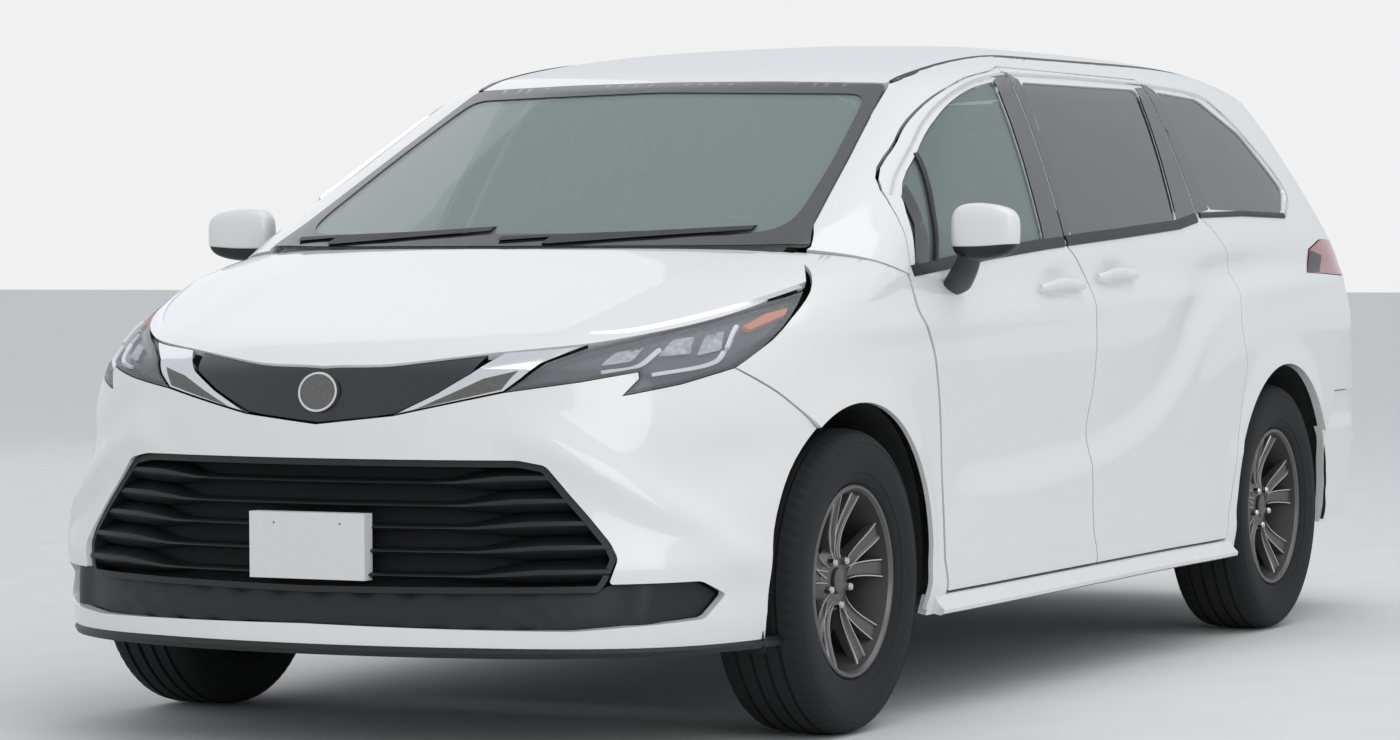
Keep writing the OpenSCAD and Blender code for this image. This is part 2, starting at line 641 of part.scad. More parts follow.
module rim(x, left) color("#5c5f63") at_wheel(x, left) {
    difference() {
        union() {
            rotate_extrude($fn = 72) polygon([[bead_r - 10, -96], [rim_r, -96],
                [rim_r, -88 - seat_gap], [bead_r, -88 - seat_gap], [bead_r, -62],
                [bead_r - 26, -48], [bead_r - 26, 36], [bead_r, 58], [bead_r, 88 + seat_gap],
                [rim_r, 88 + seat_gap], [rim_r, 96], [bead_r - 8, 96], [bead_r - 10, 60],
                [bead_r - 34, 40], [bead_r - 34, -52], [bead_r - 10, -66]]);
            translate([0, 0, 22]) cylinder(r = 78, h = 30, $fn = 48);
            for (i = [0 : spokes - 1]) rotate(36 * i + (i % 2 == 0 ? 8 : -8))
                translate([60, -11, 30]) cube([bead_r - 89, 22, 25]);
        }
        translate([0, 0, 10]) cylinder(r = spindle_radius + seat_gap, h = 60, $fn = 48);
    }
    difference() {
        union() {
            translate([0, 0, -22]) cylinder(r = 158, h = 24, $fn = 64);
            cylinder(r = 78, h = 22 - seat_gap, $fn = 48);
        }
        translate([0, 0, -30]) cylinder(r = spindle_radius + seat_gap, h = 80, $fn = 48);
    }
}
kingpin_y = track / 2 - 62;
kingpin_r = 14;
module hub_and_caliper() {
    cylinder(r = spindle_radius, h = 46, $fn = 48);
    translate([0, 0, -28]) cylinder(r = 52, h = 4, $fn = 48);
    translate([0, 0, -26]) cylinder(r = spindle_radius, h = 30, $fn = 48);
    difference() {
        translate([108, -55, -46]) cube([66, 110, 62]);
        translate([0, 0, -26]) cylinder(r = 164, h = 33, $fn = 64);
    }
    translate([30, -30, -46]) cube([90, 60, 18]);
}
module knuckle(left) color("#6b6e70") on_left(left) difference() {
    union() {
        translate([fx, track / 2, axle_z]) rotate([-90, 0, 0]) hub_and_caliper();
        translate([fx - 36, track / 2 - 96, axle_z - 110]) cube([72, 68, 220]);
        translate([fx - 130, track / 2 - 90, axle_z - 70]) cube([100, 30, 26]);
    }
    translate([fx, kingpin_y, axle_z - 150])
        cylinder(r = kingpin_r + seat_gap, h = 300, $fn = 40);
}
cross_z = 200;
rail_y = 430;
rail_z = 400;
module front_axle() color("#3a3c3e") {
    translate([fx - 70, -rail_y - 60, cross_z]) cube([140, 2 * rail_y + 120, 60]);
    both_sides() {
        translate([fx - 45, rail_y, cross_z + 5]) cube([90, kingpin_y - rail_y - 60, 24]);
        translate([fx - 22, rail_y, cross_z + 5]) cube([44, kingpin_y - rail_y + 14, 24]);
        translate([fx, kingpin_y, cross_z + 5])
            cylinder(r = kingpin_r, h = axle_z + 150 - cross_z, $fn = 40);
        translate([fx - 26, 560, axle_z + 116]) cube([52, kingpin_y - 540, 28]);
        translate([fx - 26, 560, cross_z + 20]) cube([52, 34, axle_z + 124 - cross_z]);
        translate([fx - 60, rail_y, cross_z + 50]) cube([120, 56, rail_z - cross_z - 50]);
    }
}
module rear_axle() color("#3a3c3e") {
    under = sill_height + floor_rise - floor_t;
    translate([rx - 60, -600, under - 46]) cube([120, 1200, 46]);
    both_sides() {
        translate([rx - 40, 560, under - 40]) cube([80, track / 2 - 620, 40]);
        translate([rx - 40, track / 2 - 96, under - 40]) cube([80, 68, axle_z + 140 - under]);
        translate([rx, track / 2, axle_z]) rotate([-90, 0, 0]) hub_and_caliper();
    }
}
// Inner arches, bent round each wheel
module liner(x, outer_y) {
    difference() {
        arch(x, liner_r + 4, liner_y, outer_y);
        arch(x, liner_r, liner_y + 4, outer_y + 10);
        translate([x - 600, 0, -300]) cube([1200, 1200, 300 + 230]);
    }
}
module wheel_liners() color("#1d1f21") both_sides() {
    liner(fx, front_liner_y);
    difference() {
        liner(rx, rear_liner_y);
        translate([rx - 600, 0, 0]) cube([1200, liner_y + 20, floor_top]);
    }
}

// ---- floor, cabin and engine bay ----
module floor_pan() color("#4a4c4e") {
    low = floor_top - floor_t;
    edge = side_y - 65;
    r = liner_r + 4 + seat_gap;
    difference() {
        union() {
            translate([tail_x + 260, -edge, low])
                cube([fx - r - 6 - tail_x - 260, 2 * edge, floor_t]);
            translate([fx - 800, -liner_y + seat_gap, low])
                cube([480, 2 * liner_y - 2 * seat_gap, floor_t]);
        }
        both_sides() translate([rx - r, liner_y - seat_gap, 0]) cube([2 * r, 800, 600]);
        both_sides() translate([tail_x, 700, 0]) cube([rx - r - tail_x + 1, 800, 600]);
    }
    translate([fx - 340, -liner_y + seat_gap, floor_top]) cube([20, 2 * liner_y - 2 * seat_gap, 780]);
    both_sides() {
        translate([fx - r - 26, liner_y - 40, floor_top]) cube([20, 220, 700]);
        translate([fx - 320, rail_y, rail_z]) cube([front_overhang + 120, 60, 90]);
        translate([fx - r - 26, 700, beam_top - 40]) cube([r + 316, 90, 40]);
    }
    translate([nose_x - 216, -rail_y - 60, rail_z - 20]) cube([24, 2 * rail_y + 120, 130]);
}
module dashboard() color("#4b4844") difference() {
    translate([0, 740, 0]) rotate([90, 0, 0]) linear_extrude(1480) polygon([
        [fx - 640, 700], [fx - 676, 830], [fx - 680, 930], [fx - 640, 985],
        [fx - 470, 1030], [fx - 340.3, 1030], [fx - 340.3, 760], [fx - 480, 620]]);
    both_sides() translate([fx - 1000, 480, floor_top]) cube([1000, 300, 380]);
    both_sides() translate([fx - 480, 486, floor_top]) cube([500, 300, 710]);
    at_column() cylinder(r = 44 + seat_gap, h = 150 + seat_gap, $fn = 40);
}
column_x = fx - 770;
column_y = 385;
column_z = 985;
module at_column() translate([column_x, column_y, column_z]) rotate([0, 90 + column_lean, 0])
    children();
module steering_wheel() color("#2b2b2c") at_column() difference() {
    union() {
        rotate_extrude($fn = 64) translate([steering_wheel_diameter / 2 - 15, 0])
            circle(r = 15, $fn = 24);
        translate([0, 0, -12]) cylinder(r = 62, h = 44, $fn = 40);
        for (a = [90, -90, 0]) rotate(a)
            translate([50, -16, -2]) cube([steering_wheel_diameter / 2 - 66, 32, 12]);
    }
    translate([0, 0, 10]) cylinder(r = 14 + seat_gap, h = 40, $fn = 32);
}
module steering_column() color("#2b2b2c") at_column() {
    translate([0, 0, 12]) cylinder(r = 14, h = 60, $fn = 32);
    translate([0, 0, 44]) cylinder(r = 44, h = 106, $fn = 40);
}
module seat(x, y, w, depth, back_h) {
    base = floor_top + seat_height - 140;
    translate([x - depth, y - w / 2, base]) hull() for (i = [0, 1], j = [0, 1])
        translate([25 + i * (depth - 50), 25 + j * (w - 50), 0]) cylinder(r = 25, h = 140, $fn = 24);
    translate([x - depth - seat_gap, y, base + 60]) rotate([0, -18, 0]) {
        translate([-112, -w / 2, 0]) cube([112, w, back_h]);
        translate([-98, -130, back_h + 20]) cube([84, 260, 150]);
        for (k = [-60, 60]) translate([-56, k, back_h - 1]) cylinder(r = 7, h = 22, $fn = 20);
    }
}
front_seat_x = fx - 1010;
middle_seat_x = fx - 1930;
bench_x = rx + 60;
module front_seats() color("#8a857c") both_sides()
    seat(front_seat_x, 385, seat_width, seat_depth, 600);
module middle_seats() color("#8a857c") both_sides()
    seat(middle_seat_x, 400, seat_width, seat_depth, 600);
module rear_bench() color("#8a857c") both_sides()
    seat(bench_x, 255, 500, seat_depth - 20, 560);
module seat_frames() color("#2c2d2f") both_sides() {
    h = seat_height - 140;
    for (x = [front_seat_x, middle_seat_x]) for (y = [200, 540])
        translate([x - seat_depth + 30, y, floor_top]) cube([seat_depth - 60, 30, h]);
    for (y = [60, 430])
        translate([bench_x - seat_depth + 50, y, floor_top]) cube([seat_depth - 90, 30, h]);
}
module engine_block() color("#55585b")
    translate([fx - 130, -390, cross_z + 60]) cube([640, 780, 610]);
module exhaust() color("#8b8d8f") {
    under = floor_top - floor_t;
    translate([rx - 700, 120, under - 105]) cube([420, 260, 105 - seat_gap]);
    translate([rx - 290, 200, under - 75]) rotate([0, 90, 0])
        cylinder(r = 24, h = wheelbase - 90, $fn = 32);
    translate([rx - 900, 240, under - 60]) rotate([0, 90, 0]) cylinder(r = 24, h = 210, $fn = 32);
}
module fuel_tank() color("#202223")
    translate([rx + 300, -525, floor_top - floor_t - 95]) cube([900, 585, 95 - seat_gap]);
// Arms and blades, parked along the foot of the windscreen
module wiper(y, reach) along_x([[y, screen_foot + 12], [y + 26, screen_foot + 12],
    [y + reach / 2 + 6, screen_foot + 28], [y + reach, screen_foot + 44],
    [y + reach, screen_foot + 54], [y + reach / 2, screen_foot + 42],
    [y - reach / 4, screen_foot + 30], [y - reach / 4, screen_foot + 20],
    [y + 10, screen_foot + 28]], fx - 500, fx + 100);
module wipers() color("#151617") one_shell() intersection() {
    difference() {
        stack(upper, -10, -5);
        stack(upper, -seat_gap, -seat_gap, 20);
    }
    union() {
        wiper(90, 520);
        wiper(-560, 470);
    }
}
// Carrier of the number plate, with its two bolt holes
module number_plate_bracket() color("#e6e7e4") difference() {
    translate([nose_x - 65.7, -155, plate_z - 77]) cube([35.7, 310, 154]);
    for (k = [-1, 1]) translate([nose_x - 80, k * plate_bolt_spacing / 2, plate_z + 52])
        rotate([0, 90, 0]) cylinder(r = plate_bolt_radius, h = 80, $fn = 32);
}
module jack_pads() color("#2c2d2f") both_sides()
    for (x = [fx - 640, rx + 640]) translate([x - jack_pad / 2, side_y - 172, floor_top - floor_t - 22])
        cube([jack_pad, jack_pad, 22 - seat_gap]);

floor_pan();
body_side(true);  // body_side_left
body_side(false);  // body_side_right
roof();
door_pillars();
cowl();
front_fenders();
hood();
front_bumper();
front_grille();
nose_trim();
headlamps();
windshield();
wipers();
front_door_panel(true);  // front_door_left
front_door_panel(false);  // front_door_right
front_door_pane(true);  // front_door_glass_left
front_door_pane(false);  // front_door_glass_right
sliding_doors();
rear_side_glass();
liftgate();
liftgate_glass();
rear_bumper();
tail_lamps();
liftgate_lamps();
door_mirror(true);  // door_mirror_left
door_mirror(false);  // door_mirror_right
hinge_brackets();
door_hinges(true);  // door_hinges_left
door_hinges(false);  // door_hinges_right
hood_hinges();
liftgate_hinges();
tyre(fx, true);  // tyre_front_left
tyre(fx, false);  // tyre_front_right
tyre(rx, true);  // tyre_rear_left
tyre(rx, false);  // tyre_rear_right
rim(fx, true);  // rim_front_left
rim(fx, false);  // rim_front_right
rim(rx, true);  // rim_rear_left
rim(rx, false);  // rim_rear_right
knuckle(true);  // knuckle_left
knuckle(false);  // knuckle_right
front_axle();
rear_axle();
wheel_liners();
dashboard();
steering_column();
steering_wheel();
front_seats();
middle_seats();
rear_bench();
seat_frames();
engine_block();
exhaust();
fuel_tank();
number_plate_bracket();
jack_pads();
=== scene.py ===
"""A family minivan with sliding side doors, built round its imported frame.

The skin is one mathematical surface, and each panel is a trimmed piece of it. X points
forward, Y to the left side, Z up, in metres.
"""

import math

import bpy
import numpy as np
from mathutils import Matrix, Vector
from mathutils.geometry import delaunay_2d_cdt


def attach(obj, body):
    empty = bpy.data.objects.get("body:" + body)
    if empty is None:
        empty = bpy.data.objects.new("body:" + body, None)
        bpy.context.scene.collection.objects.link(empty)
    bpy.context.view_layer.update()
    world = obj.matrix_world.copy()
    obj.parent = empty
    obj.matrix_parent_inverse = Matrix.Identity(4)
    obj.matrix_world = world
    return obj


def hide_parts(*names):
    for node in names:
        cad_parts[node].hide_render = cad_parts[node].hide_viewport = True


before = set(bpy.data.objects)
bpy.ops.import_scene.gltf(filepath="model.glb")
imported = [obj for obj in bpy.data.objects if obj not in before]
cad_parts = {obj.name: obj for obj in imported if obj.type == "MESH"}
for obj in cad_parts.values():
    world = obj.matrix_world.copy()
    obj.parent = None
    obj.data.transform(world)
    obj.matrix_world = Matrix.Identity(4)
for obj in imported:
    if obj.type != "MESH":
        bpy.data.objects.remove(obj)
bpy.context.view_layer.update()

# ---- Bonnet -----------------------------------------------------------------------------
# A pressed steel lid over the engine bay, painted in white pearl. It closes on the
# headlamps and the nose band, and swings on two hinges at the foot of the windscreen.

MIDDLE = -0.470  # where the body is widest along X

# Sections of the skin: height, nose, tail, half width, front and rear squareness
LOWER = np.array([
    (0.24, 2.583, -2.536, 0.950, 13, 15), (0.32, 2.577, -2.570, 0.966, 14, 15),
    (0.40, 2.562, -2.584, 0.973, 14, 15), (0.60, 2.532, -2.585, 0.980, 13, 15),
    (0.78, 2.512, -2.545, 0.985, 11, 15), (0.90, 2.492, -2.538, 0.984, 9.5, 15),
    (0.96, 2.390, -2.532, 0.980, 10, 15), (1.04, 2.095, -2.518, 0.968, 14, 15),
    (1.11, 1.835, -2.507, 0.945, 17.5, 15), (1.16, 1.650, -2.483, 0.908, 14.6, 15),
    (1.18, 1.560, -2.470, 0.872, 13, 15)])
UPPER = np.array([
    (1.08, 1.780, -2.508, 0.960, 16, 15), (1.10, 1.740, -2.505, 0.957, 16, 15),
    (1.20, 1.528, -2.455, 0.931, 17, 14), (1.30, 1.315, -2.400, 0.892, 17, 13),
    (1.40, 1.105, -2.340, 0.850, 17, 12), (1.50, 0.895, -2.290, 0.803, 17, 11),
    (1.60, 0.685, -2.212, 0.750, 17, 10), (1.63, 0.575, -2.160, 0.724, 15, 9),
    (1.66, 0.400, -2.050, 0.690, 12, 8), (1.685, 0.215, -1.880, 0.645, 9, 7),
    (1.705, 0.045, -1.670, 0.585, 7, 6), (1.722, -0.120, -1.420, 0.490, 5.4, 4.8),
    (1.733, -0.250, -1.120, 0.370, 3.8, 3.6), (1.740, -0.400, -0.700, 0.120, 2.5, 2.5)])


def smooth_sections(rows, span):
    """Sections each millimetre: p(z) is the mean of the straight-line p over z +- span."""
    z = np.arange(rows[0, 0], rows[-1, 0] + 0.0005, 0.001)
    k = int(span * 1000)
    columns = [z]
    for column in rows.T[1:]:
        line = np.interp(z, rows[:, 0], column)
        ends = (2 * line[0] - line[k:0:-1], line, 2 * line[-1] - line[-2:-k - 2:-1])
        columns.append(np.convolve(np.concatenate(ends), np.ones(2 * k + 1) / (2 * k + 1), "valid"))
    return np.array(columns)


LOWER_SKIN = smooth_sections(LOWER, 0.022)
UPPER_SKIN = smooth_sections(UPPER, 0.012)


def section(skin, z):
    """Nose, tail, half width and both squarenesses at the heights z."""
    return [np.interp(z, skin[0], skin[i]) for i in range(1, 6)]


def level(skin, x, y, z):
    """|X|^n + (y / w)^2, which is below 1 inside the body."""
    nose, tail, w, nf, nr = section(skin, z)
    ahead = x > MIDDLE
    a = np.where(ahead, nose - MIDDLE, MIDDLE - tail)
    return (np.abs(x - MIDDLE) / a) ** np.where(ahead, nf, nr) + (y / w) ** 2


def top_z(skin, x, y):
    """Height of the skin over the plan point (x, y), found by halving."""
    low = np.full(np.shape(x), skin[0][0] - 0.1)
    high = np.full(np.shape(x), skin[0][-1])
    for _ in range(26):
        half = (low + high) / 2
        within = level(skin, x, y, half) < 1
        low, high = np.where(within, half, low), np.where(within, high, half)
    return (low + high) / 2


def front_x(skin, y, z):
    """x = MIDDLE + a (1 - (y/w)^2)^(1/n): the skin seen from the front."""
    nose, _, w, nf, _ = section(skin, z)
    return MIDDLE + (nose - MIDDLE) * np.clip(1 - (y / w) ** 2, 1e-9, 1) ** (1 / nf)


def rear_x(skin, y, z):
    """x = MIDDLE - a (1 - (y/w)^2)^(1/n): the skin seen from behind."""
    _, tail, w, _, nr = section(skin, z)
    return MIDDLE - (MIDDLE - tail) * np.clip(1 - (y / w) ** 2, 1e-9, 1) ** (1 / nr)


def skin_y(skin, x, z):
    """y = w sqrt(1 - |X|^n): the skin seen from the left side."""
    nose, tail, w, nf, nr = section(skin, z)
    ahead = x > MIDDLE
    a = np.where(ahead, nose - MIDDLE, MIDDLE - tail)
    inside = 1 - (np.abs(x - MIDDLE) / a) ** np.where(ahead, nf, nr)
    return w * np.sqrt(np.clip(inside, 0, 1))


def ease(t):
    """0 to 1 with level ends: 3t^2 - 2t^3."""
    t = np.clip(t, 0, 1)
    return t * t * (3 - 2 * t)


def rounded(points, radius, closed=True):
    """The outline with each corner turned into a short parabola of the given reach."""
    p = np.array(points, float)
    n = len(p)
    t = np.linspace(0, 1, 6)[:, None]
    out = []
    for i in range(n):
        if not closed and i in (0, n - 1):
            out.append(p[i:i + 1])
            continue
        before, here, after = p[i - 1], p[i], p[(i + 1) % n]
        d0, d1 = before - here, after - here
        l0, l1 = np.linalg.norm(d0), np.linalg.norm(d1)
        a = here + d0 * min(radius, 0.45 * l0) / l0
        b = here + d1 * min(radius, 0.45 * l1) / l1
        out.append((1 - t) ** 2 * a + 2 * t * (1 - t) * here + t ** 2 * b)
    return np.concatenate(out)


def dense(points, step, closed=True):
    """The outline with points no further apart than a step."""
    p = np.array(points, float)
    nxt = np.roll(p, -1, axis=0) if closed else p[1:]
    out = []
    for a, b in zip(p, nxt):
        k = max(1, int(np.ceil(np.linalg.norm(b - a) / step)))
        out.append(a + (b - a) * (np.arange(k) / k)[:, None])
    if not closed:
        out.append(p[-1:])
    out = np.concatenate(out)
    apart = np.linalg.norm(np.diff(out, axis=0, append=out[:1]), axis=1) > 1e-6
    return out[apart] if closed else out


def inset(points, d):
    """The outline drawn in by d: each edge moves along its normal and meets the next."""
    p = np.array(points, float)
    area = np.sum(p[:, 0] * np.roll(p[:, 1], -1) - p[:, 1] * np.roll(p[:, 0], -1))
    e = np.roll(p, -1, axis=0) - p
    e /= np.linalg.norm(e, axis=1)[:, None]
    n = np.sign(area) * np.stack([-e[:, 1], e[:, 0]], 1)
    n0 = np.roll(n, 1, axis=0)
    k = np.clip(1 + np.sum(n * n0, 1), 0.35, None)
    return p + d * (n + n0) / k[:, None]


def within(points, outline):
    """Which points lie inside the outline, by counting crossings."""
    a, b = outline, np.roll(outline, -1, axis=0)
    px, py = points[:, :1], points[:, 1:]
    crosses = (a[:, 1] > py) != (b[:, 1] > py)
    rise = np.where(np.abs(b[:, 1] - a[:, 1]) < 1e-12, 1e-12, b[:, 1] - a[:, 1])
    return np.sum(crosses & (px < a[:, 0] + (py - a[:, 1]) * (b[:, 0] - a[:, 0]) / rise), 1) % 2 == 1


def clearance(points, outline):
    """Distance of each point from the outline's edges."""
    a, e = outline, np.roll(outline, -1, axis=0) - outline
    d = points[:, None] - a
    t = np.clip(np.sum(d * e, 2) / np.maximum(np.sum(e * e, 1), 1e-12), 0, 1)
    return np.min(np.linalg.norm(d - t[..., None] * e, axis=2), axis=1)


def filled(outline, holes=(), step=0.02):
    """Points and triangles that fill the outline between its holes."""
    loops = [dense(loop, step) for loop in (outline, *holes)]
    low, high = loops[0].min(0), loops[0].max(0)
    gx, gy = np.meshgrid(np.arange(low[0], high[0], step), np.arange(low[1], high[1], step))
    grid = np.stack([gx.ravel(), gy.ravel()], 1)
    keep = within(grid, loops[0])
    for hole in loops[1:]:
        keep &= ~within(grid, hole)
    grid = grid[keep]
    for loop in loops:
        grid = grid[clearance(grid, loop) > 0.45 * step]
    edges, start = [], 0
    for loop in loops:
        n = len(loop)
        edges += [(start + i, start + (i + 1) % n) for i in range(n)]
        start += n
    flat = np.concatenate(loops + [grid])
    points, _, faces, *_ = delaunay_2d_cdt([Vector(p) for p in flat], edges, [], 0, 1e-7)
    points = np.array([tuple(p) for p in points])
    faces = np.array([f for f in faces if len(f) == 3])
    centres = points[faces].mean(1)
    keep = within(centres, loops[0])
    for hole in loops[1:]:
        keep &= ~within(centres, hole)
    return points, faces[keep]


def add_mesh(name, points, faces, materials, smooth=None, slots=None):
    """A mesh object at the origin, with the given faces shaded smooth."""
    mesh = bpy.data.meshes.new(name)
    mesh.from_pydata(np.asarray(points).tolist(), [], [list(map(int, f)) for f in faces])
    for material in materials:
        mesh.materials.append(material)
    count = len(mesh.polygons)
    flags = np.ones(count, bool) if smooth is None else np.asarray(smooth, bool)
    mesh.polygons.foreach_set("use_smooth", flags)
    if slots is not None:
        mesh.polygons.foreach_set("material_index", np.asarray(slots, np.int32))
    mesh.update()
    obj = bpy.data.objects.new(name, mesh)
    bpy.context.scene.collection.objects.link(obj)
    return obj


def point_normals(points, faces):
    """Unit normals at the points, from the triangles round them."""
    a, b, c = (points[faces[:, i]] for i in range(3))
    n = np.cross(b - a, c - a)
    out = np.zeros_like(points)
    for i in range(3):
        np.add.at(out, faces[:, i], n)
    return out / np.maximum(np.linalg.norm(out, axis=1), 1e-12)[:, None]


def plate(name, points, faces, thickness, outer, inner=None, lift=0.0):
    """A closed sheet: the surface, a copy set back along its normals, and a rim."""
    n = point_normals(points, faces)
    centre = np.stack([np.clip(points[:, 0], -1.9, 1.6), 0 * points[:, 1], np.full(len(points), 0.8)], 1)
    if np.sum(n * (points - centre)) < 0:
        faces, n = faces[:, ::-1], -n
    points = points + lift * n
    back = points - thickness * n
    count = len(points)
    pairs = np.concatenate([faces[:, [0, 1]], faces[:, [1, 2]], faces[:, [2, 0]]])
    key = np.sort(pairs, 1) @ np.array([count, 1])
    _, first, seen = np.unique(key, return_index=True, return_counts=True)
    rim = pairs[first[seen == 1]]
    rim = np.stack([rim[:, 1], rim[:, 0], rim[:, 0] + count, rim[:, 1] + count], 1)
    all_faces = faces.tolist() + (faces[:, ::-1] + count).tolist() + rim.tolist()
    smooth = np.r_[np.ones(2 * len(faces)), np.zeros(len(rim))]
    slots = np.r_[np.zeros(len(faces)), np.ones(len(faces)), np.zeros(len(rim))]
    materials = [outer, inner or outer]
    obj = add_mesh(name, np.concatenate([points, back]), all_faces, materials, smooth, slots)
    obj.data.set_sharp_from_angle(angle=math.radians(50))
    return obj


GLOSS_SPREAD = 0.15  # share by which the roughness wanders


def finish(name, colour, rough=0.5, metal=0.0, coat=0.0, vary=0.04, grain=90.0, bump=0.0,
           alpha=1.0, glow=0.0):
    """A surface whose colour and gloss wander with a noise in object space."""
    material = bpy.data.materials.new(name)
    material.use_nodes = True
    nodes, links = material.node_tree.nodes, material.node_tree.links
    shader = nodes["Principled BSDF"]
    place = nodes.new("ShaderNodeTexCoord")
    noise = nodes.new("ShaderNodeTexNoise")
    noise.inputs["Scale"].default_value = grain
    noise.inputs["Detail"].default_value = 3
    links.new(place.outputs["Object"], noise.inputs["Vector"])
    ramp = nodes.new("ShaderNodeValToRGB")
    ramp.color_ramp.elements[0].position = 0.3
    ramp.color_ramp.elements[1].position = 0.7
    ramp.color_ramp.elements[0].color = [max(0, c * (1 - vary)) for c in colour] + [1]
    ramp.color_ramp.elements[1].color = [min(1, c * (1 + vary)) for c in colour] + [1]
    links.new(noise.outputs["Fac"], ramp.inputs["Fac"])
    links.new(ramp.outputs["Color"], shader.inputs["Base Color"])
    gloss = nodes.new("ShaderNodeMapRange")
    gloss.inputs["To Min"].default_value = max(0, rough * (1 - GLOSS_SPREAD))
    gloss.inputs["To Max"].default_value = min(1, rough * (1 + GLOSS_SPREAD))
    links.new(noise.outputs["Fac"], gloss.inputs["Value"])
    links.new(gloss.outputs["Result"], shader.inputs["Roughness"])
    shader.inputs["Metallic"].default_value = metal
    shader.inputs["Coat Weight"].default_value = coat
    shader.inputs["Coat Roughness"].default_value = 0.04
    shader.inputs["Alpha"].default_value = alpha
    if glow:
        shader.inputs["Emission Color"].default_value = (*colour, 1)
        shader.inputs["Emission Strength"].default_value = glow
    if bump:
        relief = nodes.new("ShaderNodeBump")
        relief.inputs["Strength"].default_value = bump
        relief.inputs["Distance"].default_value = 0.002
        links.new(noise.outputs["Fac"], relief.inputs["Height"])
        links.new(relief.outputs["Normal"], shader.inputs["Normal"])
    return material


paint = finish("white_pearl", (0.80, 0.80, 0.79), rough=0.34, coat=1.0, vary=0.012, grain=900)
underside = finish("panel_underside", (0.42, 0.42, 0.42), rough=0.6, vary=0.06, grain=30)
GAP = 0.0035  # half a shut gap

BONNET_SIDE = [(2.482, 0.0), (2.459, 0.20), (2.369, 0.425), (2.27, 0.590), (2.10, 0.728),
               (1.897, 0.822), (1.668, 0.866)]
BONNET_REAR = [(1.489, 0.775), (1.502, 0.70), (1.552, 0.50), (1.587, 0.25), (1.602, 0.0)]


def two_sided(half, flip=(-1, 1)):
    """A half outline, from the middle line round to the middle line, and its mirror image."""
    half = np.array(half, float)
    return np.concatenate([half, (half * flip)[::-1][1:-1]])


def curve_through(points, count=8):
    """Catmull-Rom curve through the points."""
    p = np.array(points, float)
    p = np.concatenate([2 * p[:1] - p[1:2], p, 2 * p[-1:] - p[-2:-1]])
    t = (np.arange(count) / count)[:, None]
    out = [0.5 * (2 * b + (c - a) * t + (2 * a - 5 * b + 4 * c - d) * t ** 2
                  + (3 * b - a - 3 * c + d) * t ** 3)
           for a, b, c, d in zip(p, p[1:], p[2:], p[3:])]
    return np.concatenate(out + [p[-2:-1]])


bonnet_half = np.concatenate([curve_through(BONNET_SIDE), curve_through(BONNET_REAR)])
points, faces = filled(inset(dense(two_sided(bonnet_half, (1, -1)), 0.03), GAP), step=0.025)
x, y = points.T
swage = 0.007 * np.exp(-((np.abs(y) - 0.50 - 0.12 * (2.45 - x)) / 0.05) ** 2) * ease((2.40 - x) / 0.25)
z = top_z(LOWER_SKIN, x, y) + swage * ease((x - 1.62) / 0.3)
bonnet = plate("bonnet", np.stack([x, y, z], 1), faces, 0.018, paint, underside)
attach(bonnet, "hood_lid")
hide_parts("hood")

# ---- Front bumper cover -----------------------------------------------------------------
# One moulded plastic cover, painted with the body. It wraps round both corners to the
# wheel arches, clips to the wings, and leaves room for the grille and the lower intake.

FRONT_AXLE = 1.612
REAR_AXLE = -1.449
AXLE_Z = 0.3685
ARCH_R = 0.430
REFERENCE_N = 13  # squareness of the plan outline that girth is measured on


def quarter_girth(a, w):
    """Girth along x^13 + y^2 = 1 from the middle line, with the outline's X and Y."""
    y0 = np.linspace(0, 0.985, 240)
    x0 = (1 - y0 ** 2) ** (1 / REFERENCE_N)
    x1 = np.linspace(x0[-1], 0, 400)[1:]
    xs = np.concatenate([x0, x1])
    ys = np.concatenate([y0, np.sqrt(1 - x1 ** REFERENCE_N)])
    return np.concatenate([[0], np.cumsum(np.hypot(np.diff(xs) * a, np.diff(ys) * w))]), xs, ys


AHEAD, BEHIND = quarter_girth(3.03, 0.975), quarter_girth(2.11, 0.975)
HALF_WAY = AHEAD[0][-1]
FULL = HALF_WAY + BEHIND[0][-1]


def wrapped(skin, q, z):
    """Point of the skin at a girth q round the body from the nose, and a height z."""
    nose, tail, w, nf, nr = section(skin, z)
    s = np.abs(q)
    front = s < HALF_WAY
    xs = np.where(front, np.interp(s, AHEAD[0], AHEAD[1]), np.interp(FULL - s, BEHIND[0], BEHIND[1]))
    ys = np.where(front, np.interp(s, AHEAD[0], AHEAD[2]), np.interp(FULL - s, BEHIND[0], BEHIND[2]))
    x = np.where(front, MIDDLE + (nose - MIDDLE) * xs ** (REFERENCE_N / nf),
                 MIDDLE - (MIDDLE - tail) * xs ** (REFERENCE_N / nr))
    return np.stack([x, np.sign(q) * w * ys, z], -1)


def girth(skin, points):
    """(q, z) of points on the skin, from the angle of (|X|^(n/2), y/w)."""
    x, y, z = np.array(points, float).T
    nose, tail, w, nf, nr = section(skin, z)
    front = x > MIDDLE
    a = np.where(front, nose - MIDDLE, MIDDLE - tail)
    n = np.where(front, nf, nr)
    big_x, big_y = (np.abs(x - MIDDLE) / a) ** (n / 2), np.abs(y) / w
    length = np.hypot(big_x, big_y)
    xs, ys = (big_x / length) ** (2 / REFERENCE_N), big_y / length
    q_front = np.where(xs > 0.95, np.interp(ys, AHEAD[2], AHEAD[0]), np.interp(-xs, -AHEAD[1], AHEAD[0]))
    q_rear = np.where(xs > 0.95, np.interp(ys, BEHIND[2], BEHIND[0]),
                      np.interp(-xs, -BEHIND[1], BEHIND[0]))
    return np.stack([np.where(y < 0, -1, 1) * np.where(front, q_front, FULL - q_rear), z], 1)


